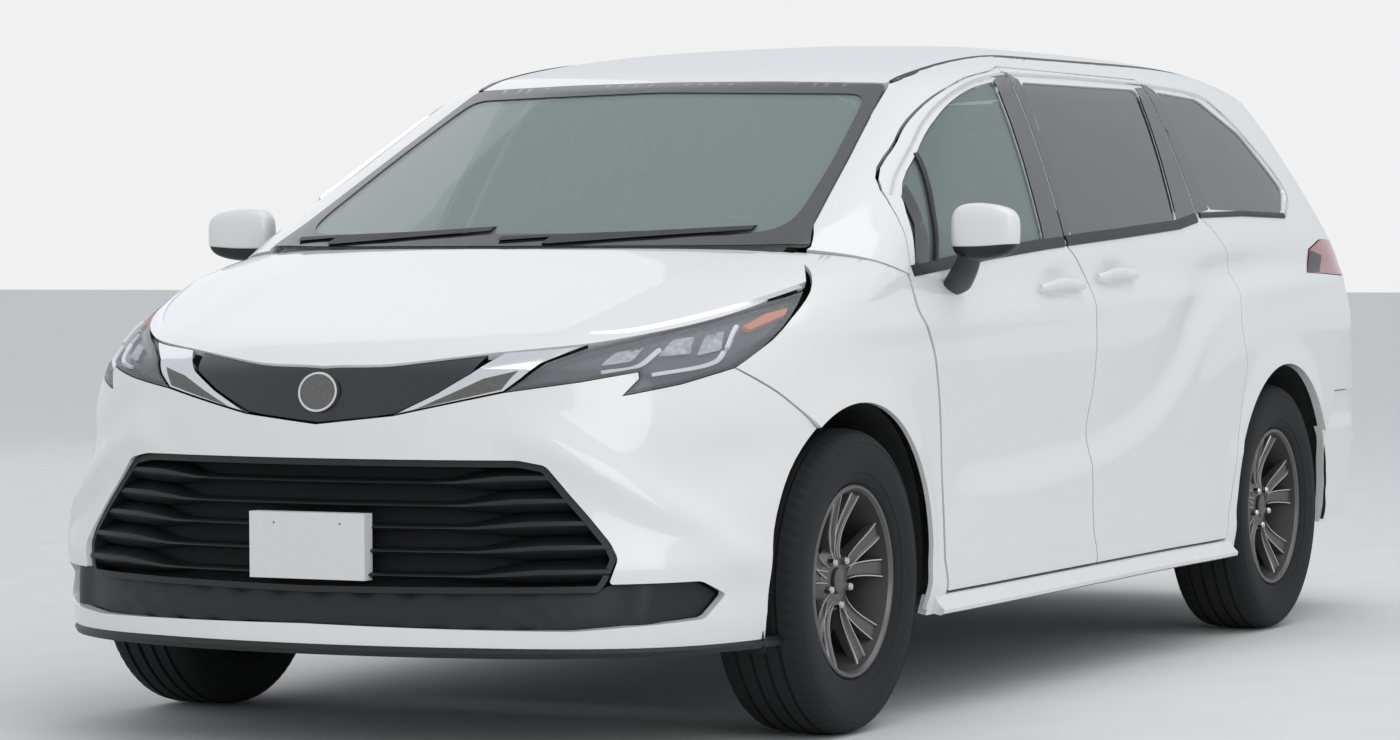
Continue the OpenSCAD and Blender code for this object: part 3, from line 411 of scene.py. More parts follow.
def bulge(q, z):
    """Relief of the nose: the ridge from the grille's shoulder to the corner, the hollow
    beside it, and the chin, each a smooth hill across a line."""
    s = np.abs(q)
    along = ease((s - 0.42) / 0.12) * ease((1.25 - s) / 0.25)
    ridge_z = 0.735 - 0.50 * np.clip(s - 0.56, 0, 1)
    ridge = 0.020 * np.exp(-((z - ridge_z) / 0.05) ** 2) * along
    hollow = -0.022 * np.exp(-(((s - 0.98) / 0.20) ** 2 + ((z - 0.66) / 0.10) ** 2))
    corner = 0.016 * np.exp(-(((s - 0.95) / 0.25) ** 2 + ((z - 0.45) / 0.05) ** 2))
    return ridge + hollow + corner


def arch_points(centre_x, radius, start, stop, count=36):
    """Arc of a wheel arch in (x, z), angles in degrees from +X upwards."""
    t = np.radians(np.linspace(start, stop, count))
    return np.stack([centre_x + radius * np.cos(t), AXLE_Z + radius * np.sin(t)], 1)


def on_side(skin, xz, side=1):
    """3-D points on the skin's side from (x, z)."""
    x, z = np.array(xz, float).T
    return np.stack([x, side * skin_y(skin, x, z), z], 1)


def on_front(skin, yz):
    """3-D points on the skin's front from (y, z)."""
    y, z = np.array(yz, float).T
    return np.stack([front_x(skin, y, z), y, z], 1)


LAMP_LOW = [(2.431, 0.454, 0.847), (2.345, 0.600, 0.870), (2.266, 0.716, 0.892),
            (2.272, 0.722, 0.876), (2.308, 0.697, 0.838), (2.200, 0.790, 0.862), (2.067, 0.865, 0.896)]
LAMP_REAR = [(2.067, 0.865, 0.896), (2.000, 0.880, 0.922), (1.928, 0.893, 0.958),
             (1.870, 0.896, 0.987), (1.826, 0.897, 1.011), (1.775, 0.890, 1.038), (1.712, 0.880, 1.070)]
LAMP_TOP = [(1.712, 0.880, 1.070), (1.985, 0.775, 1.012), (2.170, 0.672, 0.973),
            (2.280, 0.586, 0.945), (2.361, 0.525, 0.914), (2.400, 0.490, 0.880), (2.431, 0.454, 0.847)]
GRILLE = [(0.0, 0.693), (0.500, 0.693), (0.559, 0.681), (0.612, 0.618), (0.656, 0.567),
          (0.704, 0.505), (0.720, 0.470), (0.702, 0.412), (0.688, 0.392), (0.0, 0.384)]
OPENING = [(0.0, 0.693), (0.500, 0.693), (0.559, 0.681), (0.612, 0.618), (0.656, 0.567), (0.704, 0.505),
           (0.720, 0.470), (0.706, 0.412), (0.860, 0.414), (0.895, 0.380), (0.868, 0.326), (0.640, 0.306),
           (0.0, 0.314)]
SLOT = [(0.0, 0.384), (0.689, 0.393), (0.706, 0.409), (0.860, 0.414), (0.895, 0.380),
        (0.868, 0.326), (0.640, 0.306), (0.0, 0.314)]
WING_LOW = [(0.0, 0.772), (0.199, 0.793), (0.454, 0.847)]

arch_front = arch_points(FRONT_AXLE, ARCH_R, 61.5, -15.5, 16)
lower_edge = [(0.90, 0.262), (0.80, 0.258), (0.40, 0.256), (0.0, 0.262)]
lamp_low_q = girth(LOWER_SKIN, LAMP_LOW)
joint_q = girth(LOWER_SKIN, [(2.057, 0.869, 0.896), (1.955, 0.922, 0.835), (1.843, 0.955, 0.765)])
arch_q = girth(LOWER_SKIN, on_side(LOWER_SKIN, arch_front))
edge_q = girth(LOWER_SKIN, on_front(LOWER_SKIN, lower_edge))
wing_q = girth(LOWER_SKIN, on_front(LOWER_SKIN, WING_LOW))
bumper_half = np.concatenate([wing_q, lamp_low_q[1:], joint_q[1:], arch_q, edge_q])
grille_q = two_sided(rounded(girth(LOWER_SKIN, on_front(LOWER_SKIN, GRILLE)), 0.012, closed=False))
slot_q = two_sided(rounded(girth(LOWER_SKIN, on_front(LOWER_SKIN, SLOT)), 0.02, closed=False))
opening_q = two_sided(rounded(girth(LOWER_SKIN, on_front(LOWER_SKIN, OPENING)), 0.012, closed=False))
points, faces = filled(inset(dense(two_sided(bumper_half), 0.02), 0.0012), (opening_q,), 0.018)


SLOPE_STEP = 0.004  # reach to each side of a point when a slope is measured


def plan_normal(skin, q, z):
    """Outward direction in plan: the girth's tangent turned a quarter to the right."""
    t = wrapped(skin, q + SLOPE_STEP, z) - wrapped(skin, q - SLOPE_STEP, z)
    out = np.stack([t[:, 1], -t[:, 0], 0 * z], 1)
    return out / np.linalg.norm(out, axis=1)[:, None]


def wrapped_relief(q, z, relief=bulge):
    """The wrapped skin, moved out by a relief along the plan's outward direction."""
    return wrapped(LOWER_SKIN, q, z) + plan_normal(LOWER_SKIN, q, z) * relief(q, z)[:, None]


bumper = plate("front_bumper_cover", wrapped_relief(*points.T), faces, 0.022, paint, underside)
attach(bumper, "body")
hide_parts("front_bumper")

# ---- Lower grille -----------------------------------------------------------------------
# A black plastic insert clipped into the bumper: five slats like thin blades, an outer rim,
# and a solid back where the real one has ducts and the radiator behind it; the back's near-black
# is their black plastic and painted shade of the cavity.

satin_black = finish("satin_black_plastic", (0.009, 0.0095, 0.0105), rough=0.42, vary=0.10, grain=220,
                     bump=0.05)
# Near-black for the back of the grille: black ducts and painted shade inside the opening.
grille_black_and_painted_shade = finish("grille_black_and_painted_shade", (0.006, 0.006, 0.007), rough=0.8, vary=0.2, grain=60)


def set_back(q, z, depth):
    """The wrapped skin moved inwards by a depth."""
    return wrapped_relief(q, z, lambda q, z: np.full(len(z), -depth))


points, faces = filled(inset(grille_q, 0.001), step=0.03)
back = plate("grille_back", set_back(*points.T, 0.060), faces, 0.006, grille_black_and_painted_shade)
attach(back, "body")


def tube_quads(rows, columns):
    """Quads between neighbouring rings: point j of ring i joins point j + 1 of ring i + 1."""
    i, j = np.meshgrid(np.arange(rows - 1), np.arange(columns), indexing="ij")
    k = (j + 1) % columns
    corners = [i * columns + j, i * columns + k, (i + 1) * columns + k, (i + 1) * columns + j]
    return np.stack(corners, -1).reshape(-1, 4)


def sweep(name, path, normals, profile, material, scale=None):
    """A profile carried along a path: point = path + u b + v n, with b square to both the
    path and its normal; the ends are capped. profile is (u, v); scale widens it."""
    path, normals = np.asarray(path, float), np.asarray(normals, float)
    tangent = np.gradient(path, axis=0)
    tangent /= np.linalg.norm(tangent, axis=1)[:, None]
    normals = normals - np.sum(normals * tangent, 1)[:, None] * tangent
    normals /= np.linalg.norm(normals, axis=1)[:, None]
    side = np.cross(normals, tangent)
    prof = np.array(profile, float)
    if np.sum(prof[:, 0] * np.roll(prof[:, 1], -1) - prof[:, 1] * np.roll(prof[:, 0], -1)) < 0:
        prof = prof[::-1]
    size = np.ones((len(path), 2)) if scale is None else np.asarray(scale, float).reshape(len(path), -1)
    u = prof[:, 0][None] * size[:, :1]
    v = prof[:, 1][None] * size[:, -1:]
    points = path[:, None] + u[..., None] * side[:, None] + v[..., None] * normals[:, None]
    n, m = points.shape[:2]
    quads = tube_quads(n, m)[:, ::-1]
    faces = quads.tolist() + [list(range(m)), list(range((n - 1) * m, n * m))[::-1]]
    flat = points.reshape(-1, 3)
    obj = add_mesh(name, flat, faces, [material], np.r_[np.ones(len(quads)), 0, 0])
    if signed_volume(flat, quads) < 0:
        obj.data.flip_normals()
    obj.data.set_sharp_from_angle(angle=math.radians(40))
    return obj


def signed_volume(points, quads):
    """Volume that the quads close in, from the determinant of each corner triple."""
    a, b, c, d = (points[quads[:, i]] for i in range(4))
    return np.sum(np.cross(a, b) * c) + np.sum(np.cross(a, c) * d)


def front_path(yz, depth=0.0):
    """Path across the nose, set in by a depth, with the skin's outward directions."""
    q, z = dense(girth(LOWER_SKIN, on_front(LOWER_SKIN, yz)), 0.02, closed=False).T
    n = plan_normal(LOWER_SKIN, q, z)
    return wrapped_relief(q, z) - depth * n, n


SLAT_ENDS = [(0.583, 0.652), (0.628, 0.600), (0.672, 0.549), (0.706, 0.495), (0.708, 0.440)]
for number, (end_y, end_z) in enumerate(SLAT_ENDS):
    middle_z = end_z - 0.012
    half = [(0.0, middle_z), (0.60 * end_y, middle_z), (0.80 * end_y, end_z - 0.002), (end_y, end_z)]
    line = np.array([(-y, z) for y, z in half[::-1]][:-1] + half)
    path, normal = front_path(line, depth=0.030)
    reach = np.abs(path[:, 1]) / end_y
    widen = 0.55 + 1.15 * ease((reach - 0.50) / 0.28) * (1 - 0.25 * ease((reach - 0.85) / 0.15))
    slat = sweep(f"grille_slat_{number + 1}", path, normal,
                 [(-0.017, -0.016), (-0.014, 0.006), (-0.002, 0.021), (0.004, 0.018), (0.015, -0.016)],
                 satin_black,
                 scale=np.stack([widen, 0.8 + 0.2 * widen], 1))
    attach(slat, "body")
rim_outer = dense(inset(grille_q, 0.0015), 0.02)
points, faces = filled(rim_outer, [dense(inset(grille_q, 0.016), 0.02)], 0.02)
grille_rim = plate("grille_rim", set_back(*points.T, 0.006), faces, 0.05, satin_black)
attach(grille_rim, "body")
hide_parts("front_grille")
points, faces = filled(inset(slot_q, 0.001), step=0.02)
q, z = points.T
dimples = 0.004 * (np.sin(q * 260) * np.sin(z * 420)) * (np.abs(q) < 0.60)
pocket = 0.028 - 0.018 * np.exp(-((np.abs(q) - 0.84) / 0.05) ** 2) + dimples
intake = plate("lower_intake", wrapped_relief(q, z, lambda a, b: -pocket), faces, 0.02, satin_black)
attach(intake, "body")
lip_q = np.linspace(-1.27, 1.27, 90)
lip_path = set_back(lip_q, 0 * lip_q + 0.256, 0.002)
lip_normal = lip_path - set_back(lip_q, 0 * lip_q + 0.256, 0.05)
lip = sweep("chin_lip", lip_path, lip_normal,
            [(-0.012, -0.03), (-0.012, 0.004), (0.0, 0.010), (0.012, 0.002), (0.012, -0.03)], satin_black)
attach(lip, "body")

# ---- Nose band and chrome wings ---------------------------------------------------------
# A gloss black band under the bonnet's edge, with a plain round boss in its middle. Two
# chromed mouldings sweep from the band out to the headlamps, each with a smoky inlay.

gloss_black = finish("gloss_black", (0.010, 0.010, 0.012), rough=0.16, coat=0.6, vary=0.10, grain=160)
chrome = finish("chrome", (0.80, 0.81, 0.83), rough=0.10, metal=1.0, vary=0.02, grain=60)
smoke = finish("smoky_inlay", (0.16, 0.155, 0.15), rough=0.22, metal=0.6, vary=0.12, grain=120)
band_low = girth(LOWER_SKIN, on_front(LOWER_SKIN, [(0.0, 0.775), (0.15, 0.790), (0.199, 0.797)]))
edge_x, edge_y = curve_through(BONNET_SIDE[:5], 6).T
bonnet_edge = girth(LOWER_SKIN, np.stack([edge_x, edge_y, top_z(LOWER_SKIN, edge_x, edge_y)], 1))
band_side = girth(LOWER_SKIN, [(2.470, 0.300, 0.845), (2.425, 0.362, 0.890)])
band_top = bonnet_edge[12::-1]
band_q = two_sided(np.concatenate([band_low, band_side, band_top[1:]]))
points, faces = filled(inset(dense(band_q, 0.015), 0.001), step=0.018)
band = plate("nose_band", set_back(*points.T, 0.010), faces, 0.02, gloss_black)
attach(band, "body")
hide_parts("nose_trim")
angle = np.linspace(0, 2 * np.pi, 48, endpoint=False)
disc = np.stack([0.052 * np.cos(angle), 0.846 + 0.046 * np.sin(angle)], 1)
points, faces = filled(disc, step=0.01)
boss = plate("nose_boss", np.stack([front_x(LOWER_SKIN, *points.T) + 0.001, *points.T], 1), faces, 0.02,
             smoke)
points, faces = filled(disc, [inset(disc, 0.005)], 0.01)
boss_rim = plate("nose_boss_rim", np.stack([front_x(LOWER_SKIN, *points.T) + 0.003, *points.T], 1), faces,
                 0.01, chrome)
for piece in (boss, boss_rim):
    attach(piece, "body")
HANDS = ((1, "left"), (-1, "right"))
WING_IN = girth(LOWER_SKIN, [(2.498, 0.199, 0.795), (2.470, 0.300, 0.845), (2.425, 0.362, 0.890)])
WING_OUT = girth(LOWER_SKIN, [(2.372, 0.518, 0.912), (2.405, 0.482, 0.878), (2.431, 0.452, 0.849)])
wing_q = np.concatenate([WING_IN, bonnet_edge[12:19], WING_OUT])
INLAY = [(2.489, 0.245, 0.806), (2.465, 0.335, 0.846), (2.430, 0.400, 0.880), (2.392, 0.470, 0.898),
         (2.430, 0.446, 0.853)]
for side, hand in HANDS:
    points, faces = filled(inset(dense(wing_q * (side, 1), 0.012), 0.0015), step=0.012)
    wing = plate(f"chrome_wing_{hand}", set_back(*points.T, 0.001), faces, 0.016, chrome)
    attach(wing, "body")
    outline = girth(LOWER_SKIN, INLAY) * (side, 1)
    points, faces = filled(inset(dense(outline, 0.012), 0.001), step=0.012)
    inlay = plate(f"wing_inlay_{hand}", set_back(*points.T, -0.001), faces, 0.006, smoke)
    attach(inlay, "body")

# ---- Headlamps --------------------------------------------------------------------------
# Each is a dark housing with rows of bright reflectors and two light bars, an amber side
# marker at the back, and a clear moulded lens that continues the skin.

lamp_dark = finish("lamp_housing", (0.030, 0.032, 0.036), rough=0.25, metal=0.3, vary=0.25, grain=70)
reflector = finish("lamp_reflector", (0.30, 0.32, 0.34), rough=0.25, metal=0.8, vary=0.45, grain=75)
light_bar = finish("light_bar", (0.80, 0.82, 0.85), rough=0.15, vary=0.02, glow=0.10)
amber = finish("amber_marker", (0.50, 0.12, 0.03), rough=0.2, vary=0.15, grain=300, glow=0.15)
lens_glass = finish("clear_lens", (0.55, 0.57, 0.60), rough=0.03, coat=1.0, vary=0.02, alpha=0.14)
LED_LOW = [(2.321, 0.650, 0.891), (2.262, 0.716, 0.903), (2.192, 0.740, 0.940)]
LED_HIGH = [(2.246, 0.744, 0.884), (2.122, 0.830, 0.904), (2.066, 0.848, 0.932), (1.985, 0.840, 0.990)]
AMBER = [(1.968, 0.843, 0.990), (1.880, 0.868, 1.018), (1.807, 0.888, 1.030), (1.830, 0.890, 1.015),
         (1.957, 0.851, 0.982)]
CELLS = [[(2.30, 0.630, 0.905), (2.26, 0.655, 0.935), (2.21, 0.705, 0.945), (2.25, 0.690, 0.915)],
         [(2.20, 0.735, 0.925), (2.14, 0.745, 0.962), (2.09, 0.775, 0.968), (2.13, 0.785, 0.930)],
         [(2.12, 0.792, 0.925), (2.06, 0.790, 0.972), (2.01, 0.812, 0.980), (2.06, 0.835, 0.938)]]
for side, hand in HANDS:
    rim = girth(LOWER_SKIN, LAMP_LOW + LAMP_REAR[1:] + LAMP_TOP[1:-1]) * (side, 1)
    outline = inset(dense(rim, 0.012), 0.0015)
    points, faces = filled(outline, step=0.014)
    housing = plate(f"headlamp_housing_{hand}", set_back(*points.T, 0.030), faces, 0.02, lamp_dark)
    lens = plate(f"headlamp_lens_{hand}", set_back(*points.T, 0.000), faces, 0.003, lens_glass)
    pieces = [housing, lens]
    ring, ring_faces = filled(outline, [inset(outline, 0.007)], 0.012)
    pieces.append(plate(f"headlamp_rim_{hand}", set_back(*ring.T, 0.003), ring_faces, 0.026, lamp_dark))
    for number, cell in enumerate(CELLS):
        points, faces = filled(rounded(girth(LOWER_SKIN, cell) * (side, 1), 0.006), step=0.008)
        pieces.append(plate(f"reflector_{number + 1}_{hand}", set_back(*points.T, 0.018), faces, 0.010,
                            reflector))
    points, faces = filled(girth(LOWER_SKIN, AMBER) * (side, 1), step=0.01)
    marker = plate(f"side_marker_{hand}", set_back(*points.T, 0.010), faces, 0.012, amber)
    pieces.append(marker)
    for number, bar in enumerate((LED_LOW, LED_HIGH)):
        q, z = dense(curve_through(girth(LOWER_SKIN, bar) * (side, 1), 6), 0.01, closed=False).T
        path = set_back(q, z, 0.012)
        t = np.gradient(path, axis=0)
        nrm = np.cross(t, (0, 0, 1)) * side
        nrm *= np.sign(nrm[:, :1])
        pieces.append(sweep(f"light_bar_{number + 1}_{hand}", path, nrm,
                            [(-0.004, -0.006), (-0.004, 0.003), (0.004, 0.003), (0.004, -0.006)],
                            light_bar))
    for piece in pieces:
        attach(piece, "body")
    if side > 0:
        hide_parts("headlamps")
    strip = girth(LOWER_SKIN,
                  [(2.232, 0.575, 0.974), (2.170, 0.680, 0.984), (1.985, 0.785, 1.020),
                   (1.712, 0.884, 1.078)]) * (side, 1)
    q, z = dense(curve_through(strip, 5), 0.02, closed=False).T
    path = set_back(q, z, 0.004)
    nrm = np.stack([0.5 + 0 * q, side * 0.3 + 0 * q, 0.8 + 0 * q], 1)
    moulding = sweep(f"bonnet_edge_moulding_{hand}", path, nrm,
                     [(-0.009, -0.004), (-0.008, 0.003), (0.008, 0.003), (0.009, -0.004)], chrome)
    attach(moulding, "body")

# ---- Front wings ------------------------------------------------------------------------
# Pressed steel panels between the bumper, the bonnet and the front doors, with the wheel
# arch cut and its lip rolled slightly outwards.


def arch_flare(x, z):
    """Outward swell round both wheel arches: h exp(-((r - R)/s)^2)."""
    out = 0
    for centre in (FRONT_AXLE, REAR_AXLE):
        r = np.hypot(x - centre, z - AXLE_Z)
        out = out + 0.010 * np.exp(-((r - ARCH_R) / 0.045) ** 2) * ease((z - 0.25) / 0.2)
    return out


CREASE = curve_through([(-2.6, 1.090), (-1.682, 1.053), (-1.105, 0.996), (-0.785, 0.900), (-0.574, 0.751),
                        (-0.341, 0.647), (0.036, 0.570), (0.536, 0.540), (1.042, 0.532), (1.300, 0.530)],
                        8)


def side_relief(x, z):
    """Relief of the flank: shoulder, lower crease that rises to the rear, sill and haunch."""
    crease_z = np.interp(x, CREASE[:, 0], CREASE[:, 1])
    along = ease((1.17 - x) / 0.35) * ease((x + 2.1) / 0.6)
    crease = 0.008 * np.exp(-((z - crease_z) / 0.05) ** 2) * along
    hollow = -0.018 * np.exp(-((z - crease_z - 0.10) / 0.085) ** 2) * along * ease((1.17 - z) / 0.09)
    swell = 0.010 * ease((crease_z - z) / 0.16) * ease((-0.45 - x) / 0.4) * ease((x + 2.5) / 0.4)
    low_line = 0.004 * ease((0.02 + 0.485 + 0.036 * (1.1 - x) - z) / 0.03) * along
    sill = 0.010 * ease((0.40 - z) / 0.08)
    shoulder = 0.006 * np.exp(-((z - 0.985 - 0.02 * (1 - x)) / 0.03) ** 2) * ease((2.0 - x) / 0.6)
    haunch = 0.006 * np.exp(-(((x + 1.55) / 0.42) ** 2 + ((z - 1.02) / 0.09) ** 2))
    scoops = 0
    for centre_x, centre_z in ((0.296, 1.060), (-0.125, 1.082)):
        scoops = scoops - 0.011 * np.exp(-((x - centre_x) / 0.085) ** 4 - ((z - centre_z) / 0.036) ** 4)
    return crease + hollow + swell + low_line + sill + shoulder + haunch + scoops


LOWER_SPAN = (0.24, 1.18)  # heights that each skin is drawn over
UPPER_SPAN = (1.08, 1.74)
WRAP_SPAN = (1.08, 1.738)  # the upper skin to just under the crown


def upper_share(z):
    """Share of the upper skin at a height: 0 below the waist, eased to 1 over 9 cm."""
    return ease((z - 1.05) / 0.09)


def flank(x, z, skin=None):
    """Left side of the body: the lower skin eases into the upper one at the waist."""
    t = upper_share(z) if skin is None else (0.0 if skin is LOWER_SKIN else 1.0)
    low = skin_y(LOWER_SKIN, x, np.clip(z, *LOWER_SPAN))
    high = skin_y(UPPER_SKIN, x, np.clip(z, *UPPER_SPAN))
    return low * (1 - t) + high * t + arch_flare(x, z) + side_relief(x, z)


def body_girth(xz, skin=None):
    """(q, z) of side points: from the upper skin above the waist and the lower below it."""
    x, z = np.array(xz, float).T
    low, high = (girth(s, on_side(s, np.stack([x, np.clip(z, *span)], 1)))[:, 0]
                 for s, span in ((LOWER_SKIN, LOWER_SPAN), (UPPER_SKIN, WRAP_SPAN)))
    t = upper_share(z) if skin is None else 0.0
    return np.stack([low * (1 - t) + high * t, z], 1)


def body_wrap(q, z, side=1, skin=None):
    """The body at a girth and height, eased from the lower skin to the upper, with relief."""
    t = upper_share(z)[:, None] if skin is None else 0.0
    low, high = np.clip(z, *LOWER_SPAN), np.clip(z, *WRAP_SPAN)
    p = wrapped(LOWER_SKIN, q, low) * (1 - t) + wrapped(UPPER_SKIN, q, high) * t
    p[:, 2] = z
    p[:, 1] += (arch_flare(p[:, 0], z) + side_relief(p[:, 0], z)) * ease((q - 0.8) / 0.2)
    return p * (1, side, 1)


def side_plate(name, outline, thickness, outer, inner=None, holes=(), side=1, skin=None, step=0.022,
               lift=0.0, depth=0.0):
    """A panel of the flank from an outline in (x, z)."""
    loops = [body_girth(dense(loop, step), skin) for loop in (outline, *holes)]
    points, faces = filled(loops[0], loops[1:], step)
    return plate(name, body_wrap(*points.T, side, skin), faces, thickness, outer, inner, lift - depth)


WING_DOOR_EDGE = curve_through([(1.080, 0.300), (1.120, 0.560), (1.144, 0.745), (1.177, 0.913),
                                (1.250, 1.014), (1.249, 1.104)], 5)
WING_TOP = [(1.249, 1.104), (1.36, 1.137), (1.489, 1.160), (1.560, 1.136), (1.640, 1.100), (1.700, 1.068)]
wing_rear_arc = arch_points(FRONT_AXLE, ARCH_R, 61.5, 194.0)
wing_outline = np.concatenate([WING_DOOR_EDGE, WING_TOP[1:],
                               [(1.826, 1.009), (1.928, 0.956), (2.064, 0.897)],
                               [(1.955, 0.838), (1.843, 0.768)], wing_rear_arc])
for side, hand in HANDS:
    panel = side_plate(f"front_wing_{hand}", inset(dense(wing_outline, 0.02), 0.001), 0.012, paint,
                       underside,
                       side=side, skin=LOWER_SKIN, step=0.018)
    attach(panel, "body")
    if side > 0:
        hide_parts("front_fenders")

# ---- Front doors ------------------------------------------------------------------------
# Steel doors hung at their front edge, white outside and trimmed inside. Each carries a
# glass pane, a small fixed quarter light, a black sail panel and a black waist moulding.

trim = finish("cabin_trim", (0.10, 0.098, 0.095), rough=0.75, vary=0.10, grain=240, bump=0.15)
# Green tint made lighter than the glass's own colour: a painted reflection of the sky.
green_glass_painted_reflection = finish("green_glass_painted_reflection", (0.20, 0.27, 0.25), rough=0.02, coat=0.8, vary=0.02, alpha=0.50)
dark_glass = finish("privacy_glass", (0.008, 0.009, 0.010), rough=0.03, coat=0.8, vary=0.02, alpha=0.93)

SPLIT = [(0.079, 1.655), (0.188, 1.172), (0.130, 1.130), (0.072, 1.060), (0.062, 0.960), (0.072, 0.882),
         (0.098, 0.738), (0.095, 0.500), (0.055, 0.302)]
DOOR_FRONT = [(1.072, 0.302), (1.112, 0.560), (1.136, 0.745), (1.169, 0.913), (1.242, 1.014),
              (1.241, 1.104)]
DOOR_TOP = [(1.114, 1.312), (0.882, 1.441), (0.727, 1.515), (0.567, 1.574), (0.395, 1.614),
            (0.159, 1.642)]
DOOR_TOP = curve_through([DOOR_FRONT[-1]] + DOOR_TOP, 5)[1:]
SPLIT = curve_through(SPLIT[1:], 5)
DOOR_FRONT = curve_through(DOOR_FRONT, 5)
front_door = np.concatenate([DOOR_FRONT, DOOR_TOP, [(0.079, 1.655)], SPLIT])
FRONT_WINDOW = [(1.204, 1.118), (1.083, 1.294), (0.871, 1.413), (0.718, 1.487), (0.562, 1.546),
                (0.392, 1.587), (0.204, 1.610), (0.332, 1.178)]
front_window = rounded(np.concatenate([curve_through(FRONT_WINDOW[:7], 4), FRONT_WINDOW[7:]]), 0.012)
DOOR_CARD = [(0.98, 0.34), (1.00, 0.74), (0.99, 1.06), (0.17, 1.12), (0.13, 1.00), (0.16, 0.74),
             (0.13, 0.34)]
DIVIDER = [(1.078, 1.128), (0.985, 1.268), (0.886, 1.405)]


def skin_line(name, xz, body, side, profile, material, raise_by=0.0, skin=None, scale=None, step=0.02):
    """A strip carried along a line of the flank."""
    line = dense(xz, step, closed=False)
    x, z = line.T
    y = flank(x, z, skin)
    e = SLOPE_STEP
    slope_x = (flank(x + e, z, skin) - flank(x - e, z, skin)) / (2 * e)
    slope_z = (flank(x, z + e, skin) - flank(x, z - e, skin)) / (2 * e)
    n = np.stack([-slope_x, 1 + 0 * x, -slope_z], 1)
    n /= np.linalg.norm(n, axis=1)[:, None]
    path = np.stack([x, y, z], 1) + raise_by * n
    path, n = path * (1, side, 1), n * (1, side, 1)
    size = None if scale is None else scale(np.linspace(0, 1, len(path)))
    obj = sweep(name, path, n, profile, material, scale=size)
    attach(obj, body)
    return obj


BEAD = [(-0.009, -0.004), (-0.008, 0.003), (-0.004, 0.005), (0.004, 0.005), (0.008, 0.003),
        (0.009, -0.004)]
THIN = [(-0.005, -0.003), (-0.004, 0.003), (0.004, 0.003), (0.005, -0.003)]
WIDE = [(-0.016, -0.004), (-0.014, 0.003), (0.0, 0.005), (0.014, 0.003), (0.016, -0.004)]
CHROME_LINE = [(1.104, 1.302), (1.019, 1.351), (0.873, 1.424), (0.718, 1.500), (0.563, 1.558),
               (0.395, 1.599), (0.182, 1.624), (0.095, 1.630)]
CHROME_LINE = curve_through(CHROME_LINE, 5)


def handle(name, body, side, x0, x1, z):
    """A pull handle: its bar stands off the skin as h sin(pi t) ^ 0.5 between its feet."""
    t = np.linspace(0, 1, 25)
    x = x0 + (x1 - x0) * t
    stand = 0.014 + 0.016 * np.sqrt(np.clip(np.sin(np.pi * t), 0, 1))
    path = np.stack([x, side * (flank(x, 0 * x + z) + stand), z + 0.010 * np.sin(np.pi * t)], 1)
    a = np.linspace(0, 2 * np.pi, 14, endpoint=False)
    size = 0.35 + 0.65 * np.sqrt(np.clip(np.sin(np.pi * (0.06 + 0.88 * t)), 0, 1))
    obj = sweep(name, path, np.tile((0, side, 0), (25, 1)),
                np.stack([0.015 * np.cos(a), 0.009 * np.sin(a)], 1),
                paint, scale=np.stack([size, size], 1))
    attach(obj, body)


for side, hand in HANDS:
    body = f"door_{hand}"
    outline = inset(dense(front_door, 0.03), GAP)
    door = side_plate(f"front_door_{hand}_skin", outline, 0.011, paint, trim, [front_window], side)
    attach(door, body)
    card = side_plate(f"front_door_{hand}_card", rounded(DOOR_CARD, 0.04), 0.034, trim, side=side,
                      depth=0.0115)
    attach(card, body)
    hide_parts(f"front_door_{hand}")
    glass = side_plate(f"front_door_{hand}_pane", inset(front_window, 0.001), 0.004, green_glass_painted_reflection,
                       side=side, depth=0.006)
    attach(glass, body)
    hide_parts(f"front_door_glass_{hand}")
    sail = side_plate(f"sail_panel_{hand}",
                      [(1.206, 1.116), (1.150, 1.196), (1.122, 1.224), (1.105, 1.262), (1.083, 1.296),
                                              (1.030, 1.326), (1.074, 1.226), (1.125, 1.116)], 0.006,
                                              gloss_black, side=side, step=0.015, lift=0.002)
    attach(sail, body)
    post = side_plate(f"door_post_{hand}",
                      [(0.204, 1.612), (0.334, 1.178), (0.1925, 1.176), (0.0845, 1.640)],
                      0.004, gloss_black, side=side, step=0.02, lift=0.0015)
    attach(post, body)
    skin_line(f"quarter_divider_{hand}", DIVIDER, body, side, BEAD, satin_black)
    skin_line(f"window_bright_line_{hand}", CHROME_LINE, body, side, THIN, chrome, 0.002)
    skin_line(f"waist_moulding_{hand}",
                      [(1.222, 1.110), (0.759, 1.146), (0.330, 1.170), (0.198, 1.176)], body, side, WIDE,
                      satin_black, 0.001)
    handle(f"front_handle_{hand}", body, side, 0.446, 0.145, 1.056)

# ---- Door mirrors -----------------------------------------------------------------------
# Each has a painted cap over a black lower shell, on a black arm bolted to the door, with
# a mirror glass that faces the driver.

mirror_glass = finish("mirror_glass", (0.75, 0.78, 0.80), rough=0.03, metal=1.0, vary=0.02)


def ellipsoid(name, centre, radii, square, material, side=1, keep=None, rows=28, columns=48, shape=None):
    """x = a c(u) c(v), y = b c(u) s(v), z = h s(u), each power of sine and cosine set by
    square; keep trims the heights, shape moves the points."""
    low, high = keep or (-math.pi / 2, math.pi / 2)
    u, v = np.meshgrid(np.linspace(low, high, rows), np.linspace(0, 2 * np.pi, columns, endpoint=False),
                       indexing="ij")

    def power(value, p):
        return np.sign(value) * np.abs(value) ** p

    p = np.stack([radii[0] * power(np.cos(u), square) * power(np.cos(v), square),
                  radii[1] * power(np.cos(u), square) * power(np.sin(v), square),
                  radii[2] * power(np.sin(u), square)], -1)
    if shape:
        p = shape(p)
    p = (p + np.array(centre)) * (1, side, 1)
    quads = tube_quads(rows, columns)
    caps = [list(range(columns))[::-1], list(range((rows - 1) * columns, rows * columns))]
    obj = add_mesh(name, p.reshape(-1, 3), quads.tolist() + caps, [material])
    if side < 0:
        obj.data.flip_normals()
    return obj


MIRROR = (1.098, 1.088, 1.207)


